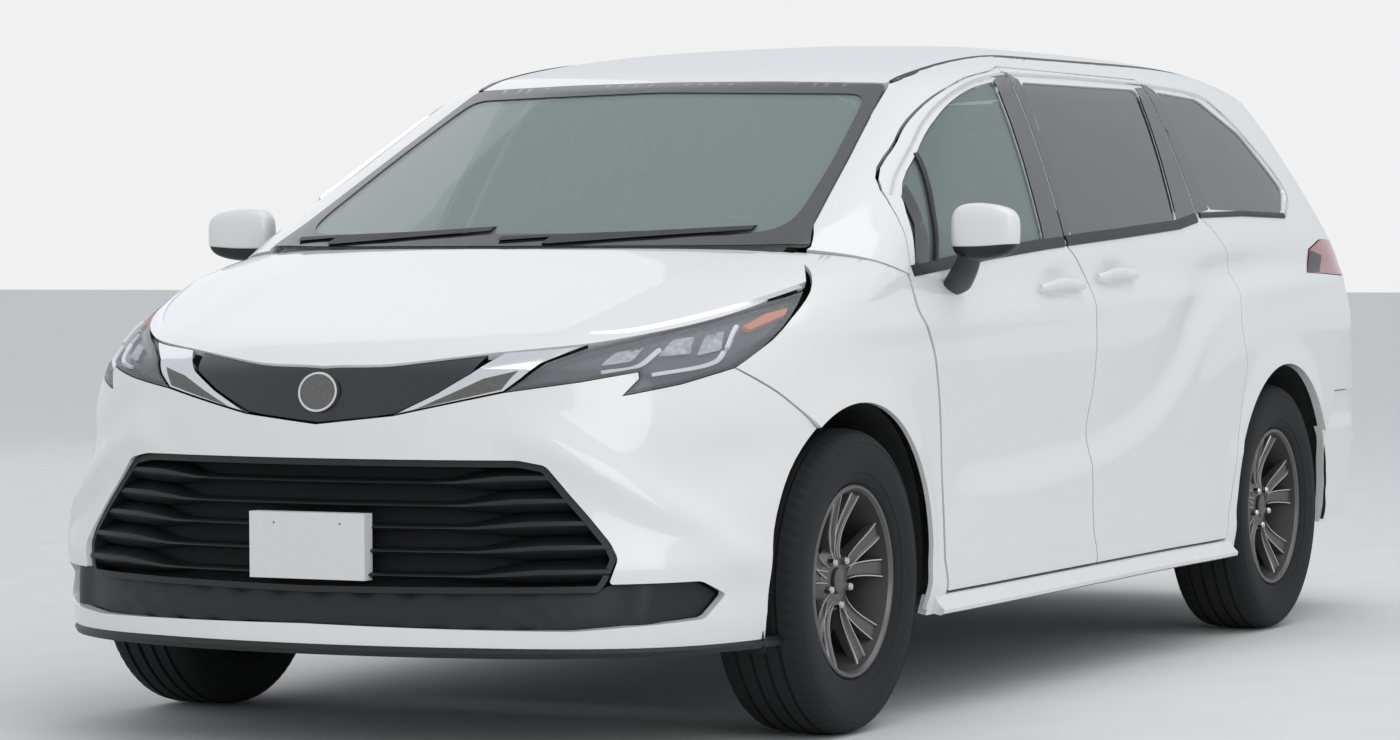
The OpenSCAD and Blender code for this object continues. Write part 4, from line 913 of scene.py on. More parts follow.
def mirror_shape(p):
    """The back is flat and the outer end droops and narrows."""
    p = p.copy()
    p[..., 0] = np.where(p[..., 0] < 0, p[..., 0] * 0.62, p[..., 0])
    p[..., 2] *= 1 - 0.16 * ease((p[..., 1] + 0.02) / 0.12)
    p[..., 0] -= 0.10 * (0.09 - p[..., 1])
    return p


for side, hand in HANDS:
    body = f"door_{hand}"
    cap = ellipsoid(f"mirror_cap_{hand}", MIRROR, (0.044, 0.092, 0.072), 0.55, paint, side,
                    (-0.30, math.pi / 2), shape=mirror_shape)
    shell = ellipsoid(f"mirror_shell_{hand}", MIRROR, (0.043, 0.091, 0.071), 0.55, satin_black, side,
                      (-math.pi / 2, -0.31), shape=mirror_shape)
    glass = ellipsoid(f"mirror_glass_{hand}", (MIRROR[0] - 0.032, MIRROR[1] + 0.002, MIRROR[2]),
                      (0.006, 0.080, 0.052), 0.6, mirror_glass, side,
                      shape=lambda p: p - np.stack([0.10 * (0.09 - p[..., 1]), 0 * p[..., 0],
                                                    0 * p[..., 0]], -1))
    arm_path = np.array([(0.985, 0.955, 1.062), (1.020, 0.985, 1.085), (1.062, 1.020, 1.118),
                         (1.095, 1.050, 1.158)])
    arm_path = curve_through(arm_path, 6) * (1, side, 1)
    arm = sweep(f"mirror_arm_{hand}", arm_path, np.tile((0.3, 0, 1), (len(arm_path), 1)),
                [(0.050 * math.cos(a), 0.018 * math.sin(a)) for a in np.linspace(0, 2 * math.pi, 16,
                                                                                 endpoint=False)],
                                                                                 satin_black,
                scale=np.stack([np.linspace(1.0, 0.75, len(arm_path))] * 2, 1))
    for piece in (cap, shell, glass, arm):
        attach(piece, body)
    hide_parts(f"door_mirror_{hand}")

# ---- Sliding doors ----------------------------------------------------------------------
# Steel doors that run on rails; here they stay shut. Dark glass fills the upper half, in a
# black frame, and the rail hides behind the rear quarter.

SLIDE_REAR = [(-0.949, 0.302), (-1.005, 0.499), (-1.100, 0.760), (-1.117, 0.809), (-1.098, 0.880),
              (-1.091, 0.938),
              (-1.100, 1.110), (-0.990, 1.212), (-0.909, 1.250), (-0.949, 1.645)]
SLIDE_REAR = np.concatenate([curve_through(SLIDE_REAR[:8], 5), SLIDE_REAR[8:]])
sliding_door = np.concatenate([SPLIT[::-1], [(0.079, 1.655)], SLIDE_REAR[::-1]])
SLIDE_WINDOW = [(0.021, 1.612), (0.142, 1.190), (-0.725, 1.226), (-0.873, 1.612)]
slide_window = rounded(SLIDE_WINDOW, 0.035)
for side, hand in HANDS:
    door = side_plate(f"sliding_door_{hand}", inset(dense(sliding_door, 0.03), GAP), 0.024, paint, trim,
                      [slide_window], side)
    glass = side_plate(f"sliding_door_pane_{hand}", inset(slide_window, 0.001), 0.004, dark_glass,
                       side=side, depth=0.005)
    frame_front = side_plate(f"slide_post_front_{hand}",
                             [(0.016, 1.618), (0.142, 1.186), (0.1835, 1.180), (0.0745, 1.640)], 0.004,
                             gloss_black, side=side, lift=0.0015)
    frame_rear = side_plate(f"slide_post_rear_{hand}",
                            [(-0.872, 1.616), (-0.724, 1.224), (-0.900, 1.244), (-0.944, 1.620)], 0.004,
                            gloss_black, side=side, lift=0.0015)
    bright = skin_line(f"slide_bright_line_{hand}", [(0.070, 1.632), (-0.400, 1.634), (-0.940, 1.628)],
                       "body", side, THIN, chrome, 0.002)
    waist = skin_line(f"slide_waist_{hand}",
                      [(0.178, 1.178), (-0.30, 1.199), (-0.725, 1.219), (-0.890, 1.238)], "body", side,
                      WIDE, satin_black, 0.001)
    for piece, slot_name in ((door, "paint"), (glass, "privacy_glass"), (frame_front, "black_plastic"),
                             (frame_rear, "black_plastic"), (bright, "black_plastic"),
                             (waist, "black_plastic")):
        if piece not in (bright, waist):
            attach(piece, "body")
    if side > 0:
        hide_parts("sliding_doors")
    handle(f"rear_handle_{hand}", "body", side, 0.020, -0.270, 1.078)

# ---- Body sides -------------------------------------------------------------------------
# The painted side frame: sill, windscreen pillar, roof rail and rear quarter in one
# pressing, cut for the doors, the quarter window, the lamps and the wheel arch.

SCREEN_EDGE = [(0.775, 1.172), (0.740, 1.225), (0.715, 1.300), (0.690, 1.378), (0.665, 1.450),
               (0.640, 1.521), (0.616, 1.594)]
QUARTER_WINDOW = [(-1.024, 1.262), (-1.019, 1.610), (-1.346, 1.594), (-1.580, 1.490), (-1.762, 1.323),
                  (-1.672, 1.252)]
quarter_window = rounded(QUARTER_WINDOW, 0.03)
edge_y, edge_z = np.array(SCREEN_EDGE).T
screen_side = np.stack([front_x(UPPER_SKIN, edge_y, edge_z), edge_z], 1)
ditch_x = np.linspace(0.56, -2.02, 26)
ditch = np.stack([ditch_x, top_z(UPPER_SKIN, ditch_x, np.full(26, 0.632))], 1)
GATE_EDGE = [(0.646, 1.570), (0.682, 1.500), (0.714, 1.340), (0.748, 1.178)]
GATE_EDGE_LOW = [(0.745, 1.040), (0.734, 1.000), (0.610, 0.760), (0.580, 0.706)]
LAMP_RING = [(-1.745, 0.945, 1.070), (-2.087, 0.945, 1.058), (-2.40, 0.90, 1.050), (-2.48, 0.80, 1.048),
             (-2.50, 0.756, 1.046),
             (-2.46, 0.756, 1.172), (-2.42, 0.83, 1.172), (-1.950, 0.94, 1.166), (-1.822, 0.945, 1.138)]


def ring_girth(ring):
    """(q, z) of points at the waist, measured on the upper skin."""
    out = girth(UPPER_SKIN, [(x, y, max(z, 1.081)) for x, y, z in ring])
    out[:, 1] = [z for _, _, z in ring]
    return out


def tail_girth(yz):
    """(q, z) of points given on the tail as (y, z)."""
    y, z = np.array(yz, float).T
    skins = [(UPPER_SKIN if h > 1.09 else LOWER_SKIN) for h in z]
    return np.concatenate([girth(s, [(rear_x(s, a, h), a, h)]) for s, a, h in zip(skins, y, z)])


lamp_hole = inset(ring_girth(LAMP_RING), -0.003)
notch = np.concatenate([lamp_hole[6:], lamp_hole[:4]])
bumper_line = girth(LOWER_SKIN,
                    [(-2.50, 0.90, 0.704), (-2.327, 0.975, 0.701), (-1.937, 0.985, 0.701),
                     (-1.862, 0.985, 0.588)])
rear_arc = arch_points(REAR_AXLE, ARCH_R, 150.0, -15.0)
sill = [(-1.030, 0.252), (1.185, 0.252), (1.180, 0.298), (1.072, 0.299)]
door_hole = np.concatenate([SLIDE_REAR, [(0.079, 1.655)], DOOR_TOP[::-1], DOOR_FRONT[-1:]])
side_outline = np.concatenate([sill[:3], [(1.072, 0.298), (-0.945, 0.298)], door_hole,
                               [(1.249, 1.106), (1.360, 1.140), (1.466, 1.166)],
                               screen_side, ditch])
side_outline_q = np.concatenate([body_girth(dense(side_outline, 0.02, closed=False)),
                                 tail_girth(GATE_EDGE), notch,
                                 tail_girth(GATE_EDGE_LOW), bumper_line, body_girth(rear_arc)])

for side, hand in HANDS:
    points, faces = filled(side_outline_q, [body_girth(dense(quarter_window, 0.02))], 0.022)
    panel = plate(f"body_side_{hand}_skin", body_wrap(*points.T, side), faces, 0.024, paint, trim)
    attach(panel, "body")
    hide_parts(f"body_side_{hand}")
    glass = side_plate(f"quarter_pane_{hand}", inset(quarter_window, 0.001), 0.004, dark_glass, side=side,
                       depth=0.005)
    post = side_plate(f"rear_post_{hand}",
                      [(-0.951, 1.634), (-0.911, 1.250), (-1.022, 1.262), (-1.016, 1.614)], 0.004,
                      gloss_black, side=side, lift=0.0015)
    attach(glass, "body")
    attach(post, "body")
    if side > 0:
        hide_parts("rear_side_glass")
    line = curve_through([(-0.958, 1.628), (-1.346, 1.608), (-1.480, 1.565), (-1.600, 1.490),
                          (-1.778, 1.326), (-1.690, 1.243)], 6)
    skin_line(f"quarter_bright_line_{hand}", line, "body", side, THIN, chrome, 0.002)
    skin_line(f"quarter_waist_{hand}", [(-0.925, 1.245), (-1.30, 1.250), (-1.675, 1.243)], "body",
                      side, BEAD, satin_black, 0.001)

SILL = [(-0.022, -0.02), (-0.022, 0.024), (-0.016, 0.032), (-0.006, 0.032), (0.008, 0.010),
        (0.020, 0.003), (0.020, -0.01)]
for side, hand in HANDS:
    profile = np.array(SILL) * (side, 1)
    skin_line(f"rocker_{hand}", [(1.150, 0.276), (-0.985, 0.276)], "body", side, profile, paint)

# ---- Wheel arch linings -----------------------------------------------------------------
# Ribbed black plastic tunnels over the wheels, clipped inside the panels all along the
# edge of each arch.

liner_plastic = finish("liner_plastic", (0.012, 0.012, 0.013), rough=0.9, vary=0.3, grain=90, bump=0.3)
for end, centre in (("front", FRONT_AXLE), ("rear", REAR_AXLE)):
    for side, hand in HANDS:
        outline = [(-0.15, 0.0), (math.pi + 0.15, 0.0), (math.pi + 0.15, 0.34), (-0.15, 0.34)]
        points, faces = filled(dense(outline, 0.05), step=0.05)
        t, across = points.T
        r = 0.437 + 0.002 * np.sin(40 * t)
        edge = flank(centre + r * np.cos(t),
                     AXLE_Z + r * np.sin(t)) - (0.034 if end == "front" else 0.014)
        y = 0.62 + across / 0.34 * (edge - 0.62)
        tunnel = plate(f"arch_lining_{end}_{hand}",
                       np.stack([centre + r * np.cos(t), side * y, AXLE_Z + r * np.sin(t)], 1), faces,
                       0.004, liner_plastic)
        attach(tunnel, "body")

# ---- Roof and ditch mouldings -----------------------------------------------------------
# One painted steel panel between the windscreen and the tailgate, welded to the body
# sides. Dark plastic mouldings cover the joint on both sides.

front_y = np.linspace(0.0, 0.605, 9)
front_z = np.interp(front_y, (0.0, 0.300, 0.616), (1.607, 1.604, 1.594))
roof_front = np.stack([front_x(UPPER_SKIN, front_y, front_z) - 0.006, front_y], 1)
roof_half = np.concatenate([roof_front, [(0.57, 0.622), (0.50, 0.626), (-0.6, 0.626), (-1.7, 0.626)],
                            [(-2.02, 0.600), (-2.075, 0.50), (-2.078, 0.447), (-2.008, 0.447),
                             (-2.008, 0.413), (-2.078, 0.413), (-2.080, 0.0)]])
points, faces = filled(inset(dense(two_sided(roof_half, (1, -1)), 0.03), 0.002), step=0.03)
x, y = points.T
roof = plate("roof_skin", np.stack([x, y, top_z(UPPER_SKIN, x, y)], 1), faces, 0.024, paint, trim)
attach(roof, "body")
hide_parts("roof")
for side, hand in HANDS:
    x = np.linspace(0.60, -2.00, 60)
    y = np.full(60, 0.629) - 0.012 * ease((x - 0.45) / 0.15)
    z = top_z(UPPER_SKIN, x, y)
    strip = sweep(f"roof_moulding_{hand}", np.stack([x, side * y, z - 0.002], 1),
                  np.tile((0, side * 0.35, 1), (60, 1)),
                  [(-0.010, -0.004), (-0.009, 0.002), (0.009, 0.002), (0.010, -0.004)], satin_black)
    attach(strip, "body")

# ---- Windscreen -------------------------------------------------------------------------
# Laminated green-tinted glass, bonded to the pillars and the roof; its colour is the tint made
# lighter by a painted reflection of the sky. A black ceramic border hides the adhesive.

# Green tint lightened as a painted reflection of the sky.
screen_glass_painted_reflection = finish("windscreen_glass", (0.25, 0.33, 0.31), rough=0.02, coat=0.8, vary=0.02, alpha=0.50)
frit = finish("ceramic_border", (0.022, 0.023, 0.025), rough=0.20, coat=0.5, vary=0.05, grain=200)
screen_half = np.concatenate([[(0.0, 1.172), (0.60, 1.172), (0.72, 1.174)], SCREEN_EDGE,
                              [(0.300, 1.604), (0.0, 1.607)]])
outline = rounded(two_sided(screen_half), 0.02)
points, faces = filled(inset(outline, 0.002), step=0.02)
y, z = points.T
screen = plate("windscreen", np.stack([front_x(UPPER_SKIN, y, z), y, z], 1), faces, 0.005, screen_glass_painted_reflection)
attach(screen, "body")
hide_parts("windshield")
clear_half = [(0.0, 1.205), (0.640, 1.205), (0.690, 1.232), (0.655, 1.378), (0.605, 1.520),
              (0.580, 1.565), (0.0, 1.578)]
points, faces = filled(inset(outline, 0.003), [rounded(two_sided(clear_half), 0.045)], 0.011)
y, z = points.T
border = plate("windscreen_border", np.stack([front_x(UPPER_SKIN, y, z), y, z], 1), faces, 0.006, frit,
               lift=0.003)
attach(border, "body")

# ---- Tailgate and rear lamps ------------------------------------------------------------
# A painted lid hinged at the roof, with a dark window, a plain panel for the number plate,
# and lamps that run from its corners round to the body sides.

red_lens = finish("red_lens", (0.30, 0.012, 0.016), rough=0.10, coat=1.0, vary=0.15, grain=180)


def tail_x(y, z):
    """The tail from the lower skin to the upper one, eased at the waist."""
    t = upper_share(z)
    low = rear_x(LOWER_SKIN, y, np.clip(z, *LOWER_SPAN))
    return low * (1 - t) + rear_x(UPPER_SKIN, y, np.clip(z, *UPPER_SPAN)) * t


GATE = [(0.0, 0.645), (0.555, 0.645), (0.604, 0.760), (0.728, 1.000), (0.744, 1.180), (0.676, 1.500),
        (0.640, 1.570), (0.540, 1.628), (0.0, 1.640)]
GATE_WINDOW = [(0.0, 1.215), (0.640, 1.215), (0.610, 1.420), (0.570, 1.530), (0.0, 1.548)]
gate_window = rounded(two_sided(GATE_WINDOW), 0.04)
points, faces = filled(dense(rounded(two_sided(GATE), 0.02), 0.03), [gate_window], 0.025)
y, z = points.T
across = np.exp(-np.clip(np.abs(y) - 0.24, 0, 1) ** 2 / 0.0009)
recess = 0.014 * across * np.exp(-np.clip(np.abs(z - 0.88) - 0.09, 0, 1) ** 2 / 0.0009)
gate = plate("tailgate_skin", np.stack([tail_x(y, z) + recess, y, z], 1), faces, 0.024, paint, trim)
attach(gate, "tailgate")
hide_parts("liftgate")
points, faces = filled(inset(gate_window, 0.001), step=0.03)
y, z = points.T
glass = plate("tailgate_pane", np.stack([tail_x(y, z) + 0.004, y, z], 1), faces, 0.004, dark_glass)
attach(glass, "tailgate")
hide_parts("liftgate_glass")


def tail_wrap(q, z, depth):
    """Round the tail at the waist, set back by a depth."""
    p = body_wrap(np.abs(q), z) * np.stack([1 + 0 * q, np.where(q < 0, -1, 1), 1 + 0 * q], 1)
    return p - depth * plan_normal(UPPER_SKIN, q, z)


for side, hand in HANDS:
    outline = ring_girth(LAMP_RING) * (side, 1)
    points, faces = filled(dense(outline, 0.02), step=0.02)
    q, z = points.T
    lamp = plate(f"tail_lamp_{hand}", tail_wrap(q, z, -0.002), faces, 0.03, red_lens)
    tip = ring_girth(LAMP_RING[8:] + LAMP_RING[:1] + [(-1.86, 0.945, 1.070),
                                                      (-1.93, 0.945, 1.120)]) * (side, 1)
    points, faces = filled(dense(tip, 0.01), step=0.01)
    dark_end = plate(f"tail_lamp_end_{hand}", tail_wrap(*points.T, -0.0035), faces, 0.004, lamp_dark)
    for piece in (lamp, dark_end):
        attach(piece, "body")
    if side > 0:
        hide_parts("tail_lamps")
    points, faces = filled(np.array([(0.30, 1.060), (0.738, 1.048), (0.742, 1.166), (0.52, 1.168),
                                     (0.30, 1.120)]) * (side, 1), step=0.02)
    y, z = points.T
    lamp = plate(f"gate_lamp_{hand}", np.stack([tail_x(y, z) - 0.006, y, z], 1), faces, 0.012, red_lens)
    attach(lamp, "tailgate")
    if side > 0:
        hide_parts("liftgate_lamps")

# ---- Rear bumper ------------------------------------------------------------------------
# A painted plastic cover in two halves that wraps from one rear arch to the other, clipped
# to the body sides under the lamps.

half = [(-2.587, 0.0, 0.636), (-2.585, 0.50, 0.636), (-2.575, 0.60, 0.700), (-2.50, 0.90, 0.700),
        (-2.327, 0.975, 0.697),
        (-1.937, 0.985, 0.697), (-1.858, 0.985, 0.590)]
arc = arch_points(REAR_AXLE, ARCH_R, 148.0, 190.0, 10)
half_q = np.concatenate([girth(LOWER_SKIN, half), girth(LOWER_SKIN, on_side(LOWER_SKIN, arc)),
                         girth(LOWER_SKIN,
                               [(-2.30, 0.955, 0.310), (-2.52, 0.80, 0.312), (-2.56, 0.0, 0.312)])])
half_q[0, 0] = half_q[-1, 0] = FULL
for side, hand in HANDS:
    points, faces = filled(dense(half_q * (side, 1), 0.03), step=0.025)
    q, z = points.T
    swell = 0.012 * np.exp(-((z - 0.56) / 0.05) ** 2) * ease((FULL - np.abs(q)) / 0.2) * 0.8
    shell = wrapped_relief(q, z, lambda a, b: swell)
    cover = plate(f"rear_bumper_{hand}", shell, faces, 0.022, paint, underside)
    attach(cover, "body")
    if side > 0:
        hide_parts("rear_bumper")

# ---- Wheels -----------------------------------------------------------------------------
# Radial tyres with grooved treads on cast alloy wheels: five pairs of spokes, machined
# bright along their edges and dark between, with five nuts and a plain centre cap.

rubber = finish("tyre_rubber", (0.011, 0.011, 0.012), rough=0.85, vary=0.12, grain=160, bump=0.12)
gunmetal = finish("wheel_gunmetal", (0.150, 0.142, 0.140), rough=0.38, metal=0.75, vary=0.06, grain=200)
# A darker, duller copy of the gunmetal for the barrel inside the rim: painted shade in the recess behind
# the spokes.
barrel_painted_shade = finish("wheel_barrel_dark", (0.045, 0.043, 0.042), rough=0.5, metal=0.5, vary=0.1,
                     grain=120)
machined = finish("wheel_machined", (0.62, 0.61, 0.60), rough=0.22, metal=1.0, vary=0.05, grain=300)
steel = finish("brake_steel", (0.36, 0.36, 0.37), rough=0.35, metal=1.0, vary=0.08, grain=220)


def turned(name, profile, place, side, material, steps=96, shape=None, slots=None, materials=None):
    """A closed profile (r, v) turned about the axle; v points out of the car."""
    prof = np.array(profile, float)
    t = np.linspace(0, 2 * np.pi, steps, endpoint=False)
    r, v = np.broadcast_arrays(prof[:, 0][None], prof[:, 1][None])
    r, v = np.repeat(r, steps, 0), np.repeat(v, steps, 0)
    if shape:
        r = shape(r, v, t[:, None])
    p = np.stack([place[0] + r * np.cos(t)[:, None], side * (place[1] + v),
                  place[2] + r * np.sin(t)[:, None]], -1)
    m = prof.shape[0]
    i, j = np.meshgrid(np.arange(steps), np.arange(m), indexing="ij")
    i1, j1 = (i + 1) % steps, (j + 1) % m
    quads = np.stack([i * m + j, i1 * m + j, i1 * m + j1, i * m + j1], -1).reshape(-1, 4)
    flat = p.reshape(-1, 3)
    if signed_volume(flat, quads) < 0:
        quads = quads[:, ::-1]
    slot_list = None if slots is None else np.tile(slots, steps)
    obj = add_mesh(name, flat, quads, materials or [material], slots=slot_list)
    obj.data.set_sharp_from_angle(angle=math.radians(35))
    return obj


def tread(r, v, t):
    """Blocks: cross grooves 4 mm deep where sin(72 t + 60 |v|) is high, full on the shoulders
    and about half as deep on the two outer ribs."""
    cut = 0.004 * ease((np.sin(72 * t + 60 * np.abs(v)) - 0.55) / 0.2)
    shoulders = ease((np.abs(v) - 0.064) / 0.006) * ease((r - 0.345) / 0.01)
    ribs = 0.55 * ease((0.012 - np.abs(np.abs(v) - 0.036)) / 0.004) * ease((r - 0.36) / 0.005)
    return r - cut * (shoulders + ribs)


TYRE_R = 0.3680


def groove(v, depth=0.0075, half_width=0.0045):
    """Profile of one groove round the tread at v: two lips at the tyre's radius and a floor
    a depth below them, its walls leaning by 1 mm to each side."""
    return [(TYRE_R, v + half_width + 0.001), (TYRE_R - depth, v + half_width - 0.001),
            (TYRE_R - depth, v - half_width + 0.001), (TYRE_R, v - half_width - 0.001)]


SHOULDER = [(0.2240, 0.086), (0.2340, 0.089), (0.2400, 0.098), (0.2520, 0.1045), (0.2620, 0.107),
            (0.2640, 0.1095),
            (0.2850, 0.1140), (0.3050, 0.1168), (0.3200, 0.1165), (0.3340, 0.1140), (0.3360, 0.1155),
            (0.3450, 0.1110),
            (0.3540, 0.1045), (0.3600, 0.0960), (0.3640, 0.0860), (0.3660, 0.0740)]
grooves = groove(0.058) + groove(0.0195) + groove(-0.0195) + groove(-0.058)
tyre_outside = SHOULDER + grooves + [(r, -v) for r, v in SHOULDER[::-1]]
tyre_inside = [(0.2240, -0.074), (0.262, -0.092), (0.335, -0.098), (0.349, -0.080), (0.352, 0.0),
               (0.349, 0.080), (0.335, 0.098), (0.262, 0.092), (0.2240, 0.074)]
barrel = [(0.2320, -0.097), (0.2340, -0.090), (0.2215, -0.086), (0.2215, -0.060), (0.200, -0.046),
          (0.200, 0.030), (0.2150, 0.058),
          (0.2215, 0.062), (0.2215, 0.086), (0.2330, 0.088), (0.2335, 0.0955), (0.2300, 0.0985),
          (0.2240, 0.0980), (0.2180, 0.090),
          (0.2120, 0.074), (0.1930, 0.042), (0.1900, -0.048), (0.2100, -0.070), (0.2160, -0.097)]
# Slot 0 gives the barrel its painted shade, slot 1 the gunmetal of the outer lip.
barrel_slots = [0] * 9 + [0, 1, 1, 1, 0] + [0] * 5


def spoke(name, place, side, angle, lean):
    """One spoke: a grooved section carried from the hub to the rim, leaning by an angle;
    its face runs from v = 0.050 to 0.080, hollow between, and is bright along both edges."""
    t = np.linspace(0, 1, 14)
    radius = 0.055 + 0.1655 * t
    turn = angle + lean * (0.42 + 0.58 * t)
    face = 0.050 + 0.030 * ease(t) - 0.012 * np.sin(np.pi * t)
    half_width = 0.0165 + 0.0085 * t ** 1.5
    depth = 0.030 - 0.010 * t
    u = np.array([-1, -1, -0.93, -0.80, -0.62, 0.62, 0.80, 0.93, 1, 1, 0.7, -0.7])
    lift = np.array([-1, -0.12, 0.06, 0.06, -0.16, -0.16, 0.06, 0.06, -0.12, -1, -1.1, -1.1])
    off = u[None] * half_width[:, None]
    v = face[:, None] + lift[None] * depth[:, None]
    r = radius[:, None]
    x = place[0] + r * np.cos(turn)[:, None] - off * np.sin(turn)[:, None]
    z = place[2] + r * np.sin(turn)[:, None] + off * np.cos(turn)[:, None]
    p = np.stack([x, side * (place[1] + v), z], -1)
    n, m = p.shape[:2]
    quads = tube_quads(n, m)
    slots = np.tile([0, 1, 1, 0, 0, 0, 1, 1, 0, 0, 0, 0], n - 1)
    flat = p.reshape(-1, 3)
    caps = [list(range(m)), list(range((n - 1) * m, n * m))[::-1]]
    if signed_volume(flat, quads) < 0:
        quads = quads[:, ::-1]
        caps = [c[::-1] for c in caps]
    caps = [c[::-1] for c in caps]
    obj = add_mesh(name, flat, quads.tolist() + caps, [gunmetal, machined], slots=np.r_[slots, 0, 0])
    obj.data.set_sharp_from_angle(angle=math.radians(30))
    return obj


def nut(name, place, side, radius, at, angle):
    """A six-sided nut: three hexagonal rings, straight for 18 mm and then drawn in by 2.5 mm."""
    r, v = np.array([(0.0105, 0.0), (0.0105, 0.018), (0.008, 0.023)]).T[..., None]
    t = np.linspace(0, 2 * np.pi, 6, endpoint=False)
    x = place[0] + radius * math.cos(angle) + r * np.cos(t)
    z = place[2] + radius * math.sin(angle) + r * np.sin(t)
    flat = np.stack([x, side * (place[1] + at + v) + 0 * x, z], -1).reshape(-1, 3)
    quads = tube_quads(3, 6)
    caps = [list(range(6))[::-1], list(range(12, 18))]
    if signed_volume(flat, quads) < 0:
        quads = quads[:, ::-1]
        caps = [c[::-1] for c in caps]
    return add_mesh(name, flat, quads.tolist() + caps, [machined], np.zeros(14))


HALF_TRACK = 0.8625
HUB = [(0.032, 0.020), (0.080, 0.020), (0.082, 0.030), (0.070, 0.046), (0.050, 0.052), (0.032, 0.052)]
CAP = [(0.0005, 0.054), (0.031, 0.054), (0.031, 0.060), (0.026, 0.063), (0.0005, 0.064)]
DISC = [(0.034, -0.020), (0.156, -0.020), (0.156, 0.000), (0.078, 0.002), (0.078, 0.020), (0.034, 0.020)]
SPOKE_LEAN = math.radians(14)
for end, axle_x in (("front", FRONT_AXLE), ("rear", REAR_AXLE)):
    for side, hand in HANDS:
        body = f"wheel_{end}_{hand}"
        place = (axle_x, HALF_TRACK, AXLE_Z)
        tag = f"{end}_{hand}"
        tyre = turned(f"tyre_{tag}_tread", tyre_outside + tyre_inside, place, side, rubber, 288, tread)
        rim = turned(f"wheel_barrel_{tag}", barrel, place, side, gunmetal, 96, slots=barrel_slots,
                     materials=[barrel_painted_shade, gunmetal])
        hub = turned(f"wheel_hub_{tag}", HUB, place, side, gunmetal, 48)
        cap = turned(f"wheel_cap_{tag}", CAP, place, side, gunmetal, 40)
        disc = turned(f"brake_disc_{tag}", DISC, place, side, steel, 72)
        pieces = [tyre, rim, hub, cap, disc]
        for pair in range(5):
            base = math.radians(90 + 72 * pair)
            for lean in (-1, 1):
                name = f"spoke_{pair + 1}_{'a' if lean < 0 else 'b'}_{tag}"
                pieces.append(spoke(name, place, side, base, lean * SPOKE_LEAN))
            pieces.append(nut(f"wheel_nut_{pair + 1}_{tag}", place, side, 0.0572, 0.044,
                              base + math.radians(36)))
        for piece in pieces:
            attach(piece, body)
        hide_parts(f"tyre_{tag}")
        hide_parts(f"rim_{tag}")

# ---- Seats ------------------------------------------------------------------------------
# Foam cushions in woven cloth on steel frames: two in front, two in the middle, and a
# split bench behind, each with a back and a headrest.

cloth = finish("seat_cloth", (0.26, 0.25, 0.235), rough=0.9, vary=0.16, grain=700, bump=0.35)
FLOOR = 0.292


def cushion(name, centre, size, lean, channels):
    """A crowned pad: superellipsoid with sides drawn in between its corners and sewn
    channels pressed across its face; it leans back by an angle about Y."""
    def shape(p):
        s = p / (np.array(size) / 2)
        pull = 1 - 0.05 * np.exp(-(s[..., 1] / 0.6) ** 2)
        p = p * np.stack([pull, np.ones_like(pull), np.ones_like(pull)], -1)
        across = s[..., 1] if channels > 1 else s[..., 0]
        press = 0.006 * np.exp(-((np.abs(across) - 0.55) / 0.05) ** 2) * (np.abs(s[..., 2]) > 0.5)
        p[..., 2] -= np.sign(p[..., 2]) * press
        c, n = math.cos(lean), math.sin(lean)
        return np.stack([p[..., 0] * c + p[..., 2] * n, p[..., 1], -p[..., 0] * n + p[..., 2] * c], -1)
    obj = ellipsoid(name, centre, np.array(size) / 2, 0.34, cloth, rows=40, columns=72, shape=shape)
    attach(obj, "body")
    return obj


SEAT_BASE = FLOOR + 0.22
SEAT_LEAN = math.radians(18)
along_back = np.array((-math.sin(SEAT_LEAN), 0, math.cos(SEAT_LEAN)))
behind_back = np.array((-math.cos(SEAT_LEAN), 0, -math.sin(SEAT_LEAN)))
ROWS = [("front", 0.602, 0.385, 0.52, 0.50, 0.60, "front_seats"),
        ("middle", -0.318, 0.400, 0.52, 0.50, 0.60, "middle_seats"),
        ("rear", -1.389, 0.255, 0.50, 0.48, 0.56, "rear_bench")]
for row, front, across, width, depth, height, node in ROWS:
    for side, hand in HANDS:
        seat = cushion(f"{row}_seat_{hand}", (front - depth / 2, side * across, SEAT_BASE + 0.07),
                       (depth, width - 0.01, 0.155), 0.0, 2)
        pivot = np.array((front - depth, side * across, SEAT_BASE + 0.06))
        cushion(f"{row}_back_{hand}", pivot + along_back * height / 2 + behind_back * 0.056,
                (0.118, width - 0.02, height), -SEAT_LEAN, 2)
        cushion(f"{row}_headrest_{hand}", pivot + along_back * (height + 0.095) + behind_back * 0.056,
                (0.086, 0.255, 0.150), -SEAT_LEAN, 1)
        if side > 0:
            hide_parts(node)

# ---- What the frame already shows -------------------------------------------------------
# Floor, pillars, running gear, dashboard and hinges keep their own shapes and take real
# surfaces: zinc-coated steel, cast iron, moulded plastic, and a blank plate carrier.

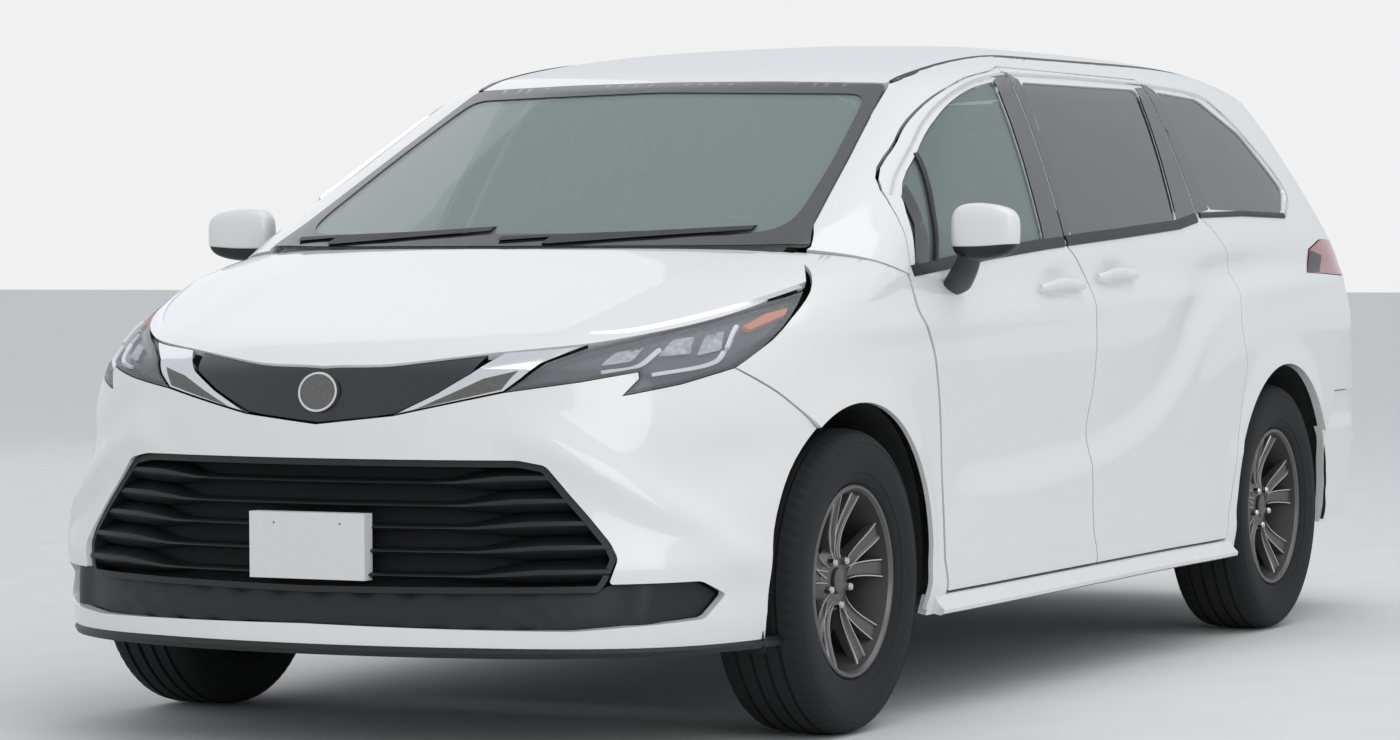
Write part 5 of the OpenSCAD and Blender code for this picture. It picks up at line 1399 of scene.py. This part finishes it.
iron = finish("cast_iron", (0.085, 0.085, 0.088), rough=0.6, metal=0.6, vary=0.25, grain=60, bump=0.2)
zinc = finish("coated_steel", (0.10, 0.10, 0.10), rough=0.7, vary=0.2, grain=40, bump=0.1)
hinge_steel = finish("hinge_steel", (0.35, 0.35, 0.36), rough=0.4, metal=0.9, vary=0.1, grain=150)
dash_skin = finish("dash_skin", (0.055, 0.053, 0.050), rough=0.7, vary=0.12, grain=400, bump=0.25)
pipe_steel = finish("pipe_steel", (0.32, 0.31, 0.30), rough=0.45, metal=0.9, vary=0.2, grain=30)
blank_plate = finish("blank_plate", (0.74, 0.74, 0.73), rough=0.5, vary=0.02, grain=200)
SURFACES = {
    "floor_pan": zinc, "door_pillars": trim, "cowl": satin_black, "wipers": satin_black,
    "hinge_brackets": hinge_steel, "door_hinges_left": hinge_steel, "door_hinges_right": hinge_steel,
    "hood_hinges": hinge_steel, "liftgate_hinges": hinge_steel, "knuckle_left": iron,
    "knuckle_right": iron,
    "front_axle": iron, "rear_axle": iron, "wheel_liners": liner_plastic, "dashboard": dash_skin,
    "steering_column": dash_skin, "steering_wheel": dash_skin, "seat_frames": zinc, "engine_block": iron,
    "exhaust": pipe_steel, "fuel_tank": liner_plastic, "number_plate_bracket": blank_plate,
    "jack_pads": zinc,
}
for node, material in SURFACES.items():
    for index in range(len(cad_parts[node].data.materials)):
        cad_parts[node].data.materials[index] = material

# ---- Camera, floor and light ------------------------------------------------------------
# The camera stands to the front left at eye height. A pale floor and a plain sky with soft
# lamps light the car evenly.

CAMERA_PLACE = (11.451, 5.428, 1.2366)
YAW, PITCH, ROLL = (math.radians(v) for v in (-153.6247, -1.8947, -0.3229))
ahead = Vector((math.cos(YAW) * math.cos(PITCH), math.sin(YAW) * math.cos(PITCH), math.sin(PITCH)))
right0 = ahead.cross(Vector((0, 0, 1))).normalized()
up0 = right0.cross(ahead)
right = math.cos(ROLL) * right0 + math.sin(ROLL) * up0
up = -math.sin(ROLL) * right0 + math.cos(ROLL) * up0
camera_data = bpy.data.cameras.new("camera")
camera_data.lens = 115.66
camera_data.sensor_width = 36.0
camera_data.clip_end = 100.0
camera = bpy.data.objects.new("camera", camera_data)
turn = Matrix((right, up, -ahead)).transposed().to_4x4()
camera.matrix_world = Matrix.Translation(CAMERA_PLACE) @ turn
bpy.context.scene.collection.objects.link(camera)
bpy.context.scene.camera = camera

floor_paint = finish("floor_paint", (0.74, 0.74, 0.73), rough=0.9, vary=0.02, grain=4)
floor = add_mesh("floor", [(-60, -60, -0.001), (60, -60, -0.001), (60, 60, -0.001), (-60, 60, -0.001)],
                 [(0, 1, 2, 3)], [floor_paint])


def lamp(name, place, size, power):
    """A square soft lamp that points at the middle of the car."""
    data = bpy.data.lights.new(name, "AREA")
    data.shape = "SQUARE"
    data.size = size
    data.energy = power
    obj = bpy.data.objects.new(name, data)
    obj.location = place
    obj.rotation_euler = (Vector((0, 0, 0.8)) - Vector(place)).to_track_quat("-Z", "Y").to_euler()
    bpy.context.scene.collection.objects.link(obj)


lamp("overhead", (0.0, 3.0, 9.0), 9.0, 240)
lamp("front_left", (9.0, 8.0, 5.0), 6.0, 190)
lamp("rear_right", (-7.0, -9.0, 6.0), 8.0, 60)
world = bpy.data.worlds.new("sky")
bpy.context.scene.world = world
world.use_nodes = True
nodes, links = world.node_tree.nodes, world.node_tree.links
sky = nodes["Background"]
sky.inputs["Color"].default_value = (0.86, 0.89, 0.93, 1)
sky.inputs["Strength"].default_value = 0.80
backdrop = nodes.new("ShaderNodeBackground")
backdrop.inputs["Color"].default_value = (0.88, 0.88, 0.88, 1)
path = nodes.new("ShaderNodeLightPath")
either = nodes.new("ShaderNodeMixShader")
links.new(path.outputs["Is Camera Ray"], either.inputs[0])
links.new(sky.outputs[0], either.inputs[1])
links.new(backdrop.outputs[0], either.inputs[2])
links.new(either.outputs[0], nodes["World Output"].inputs["Surface"])
bpy.context.scene.view_settings.view_transform = "Standard"
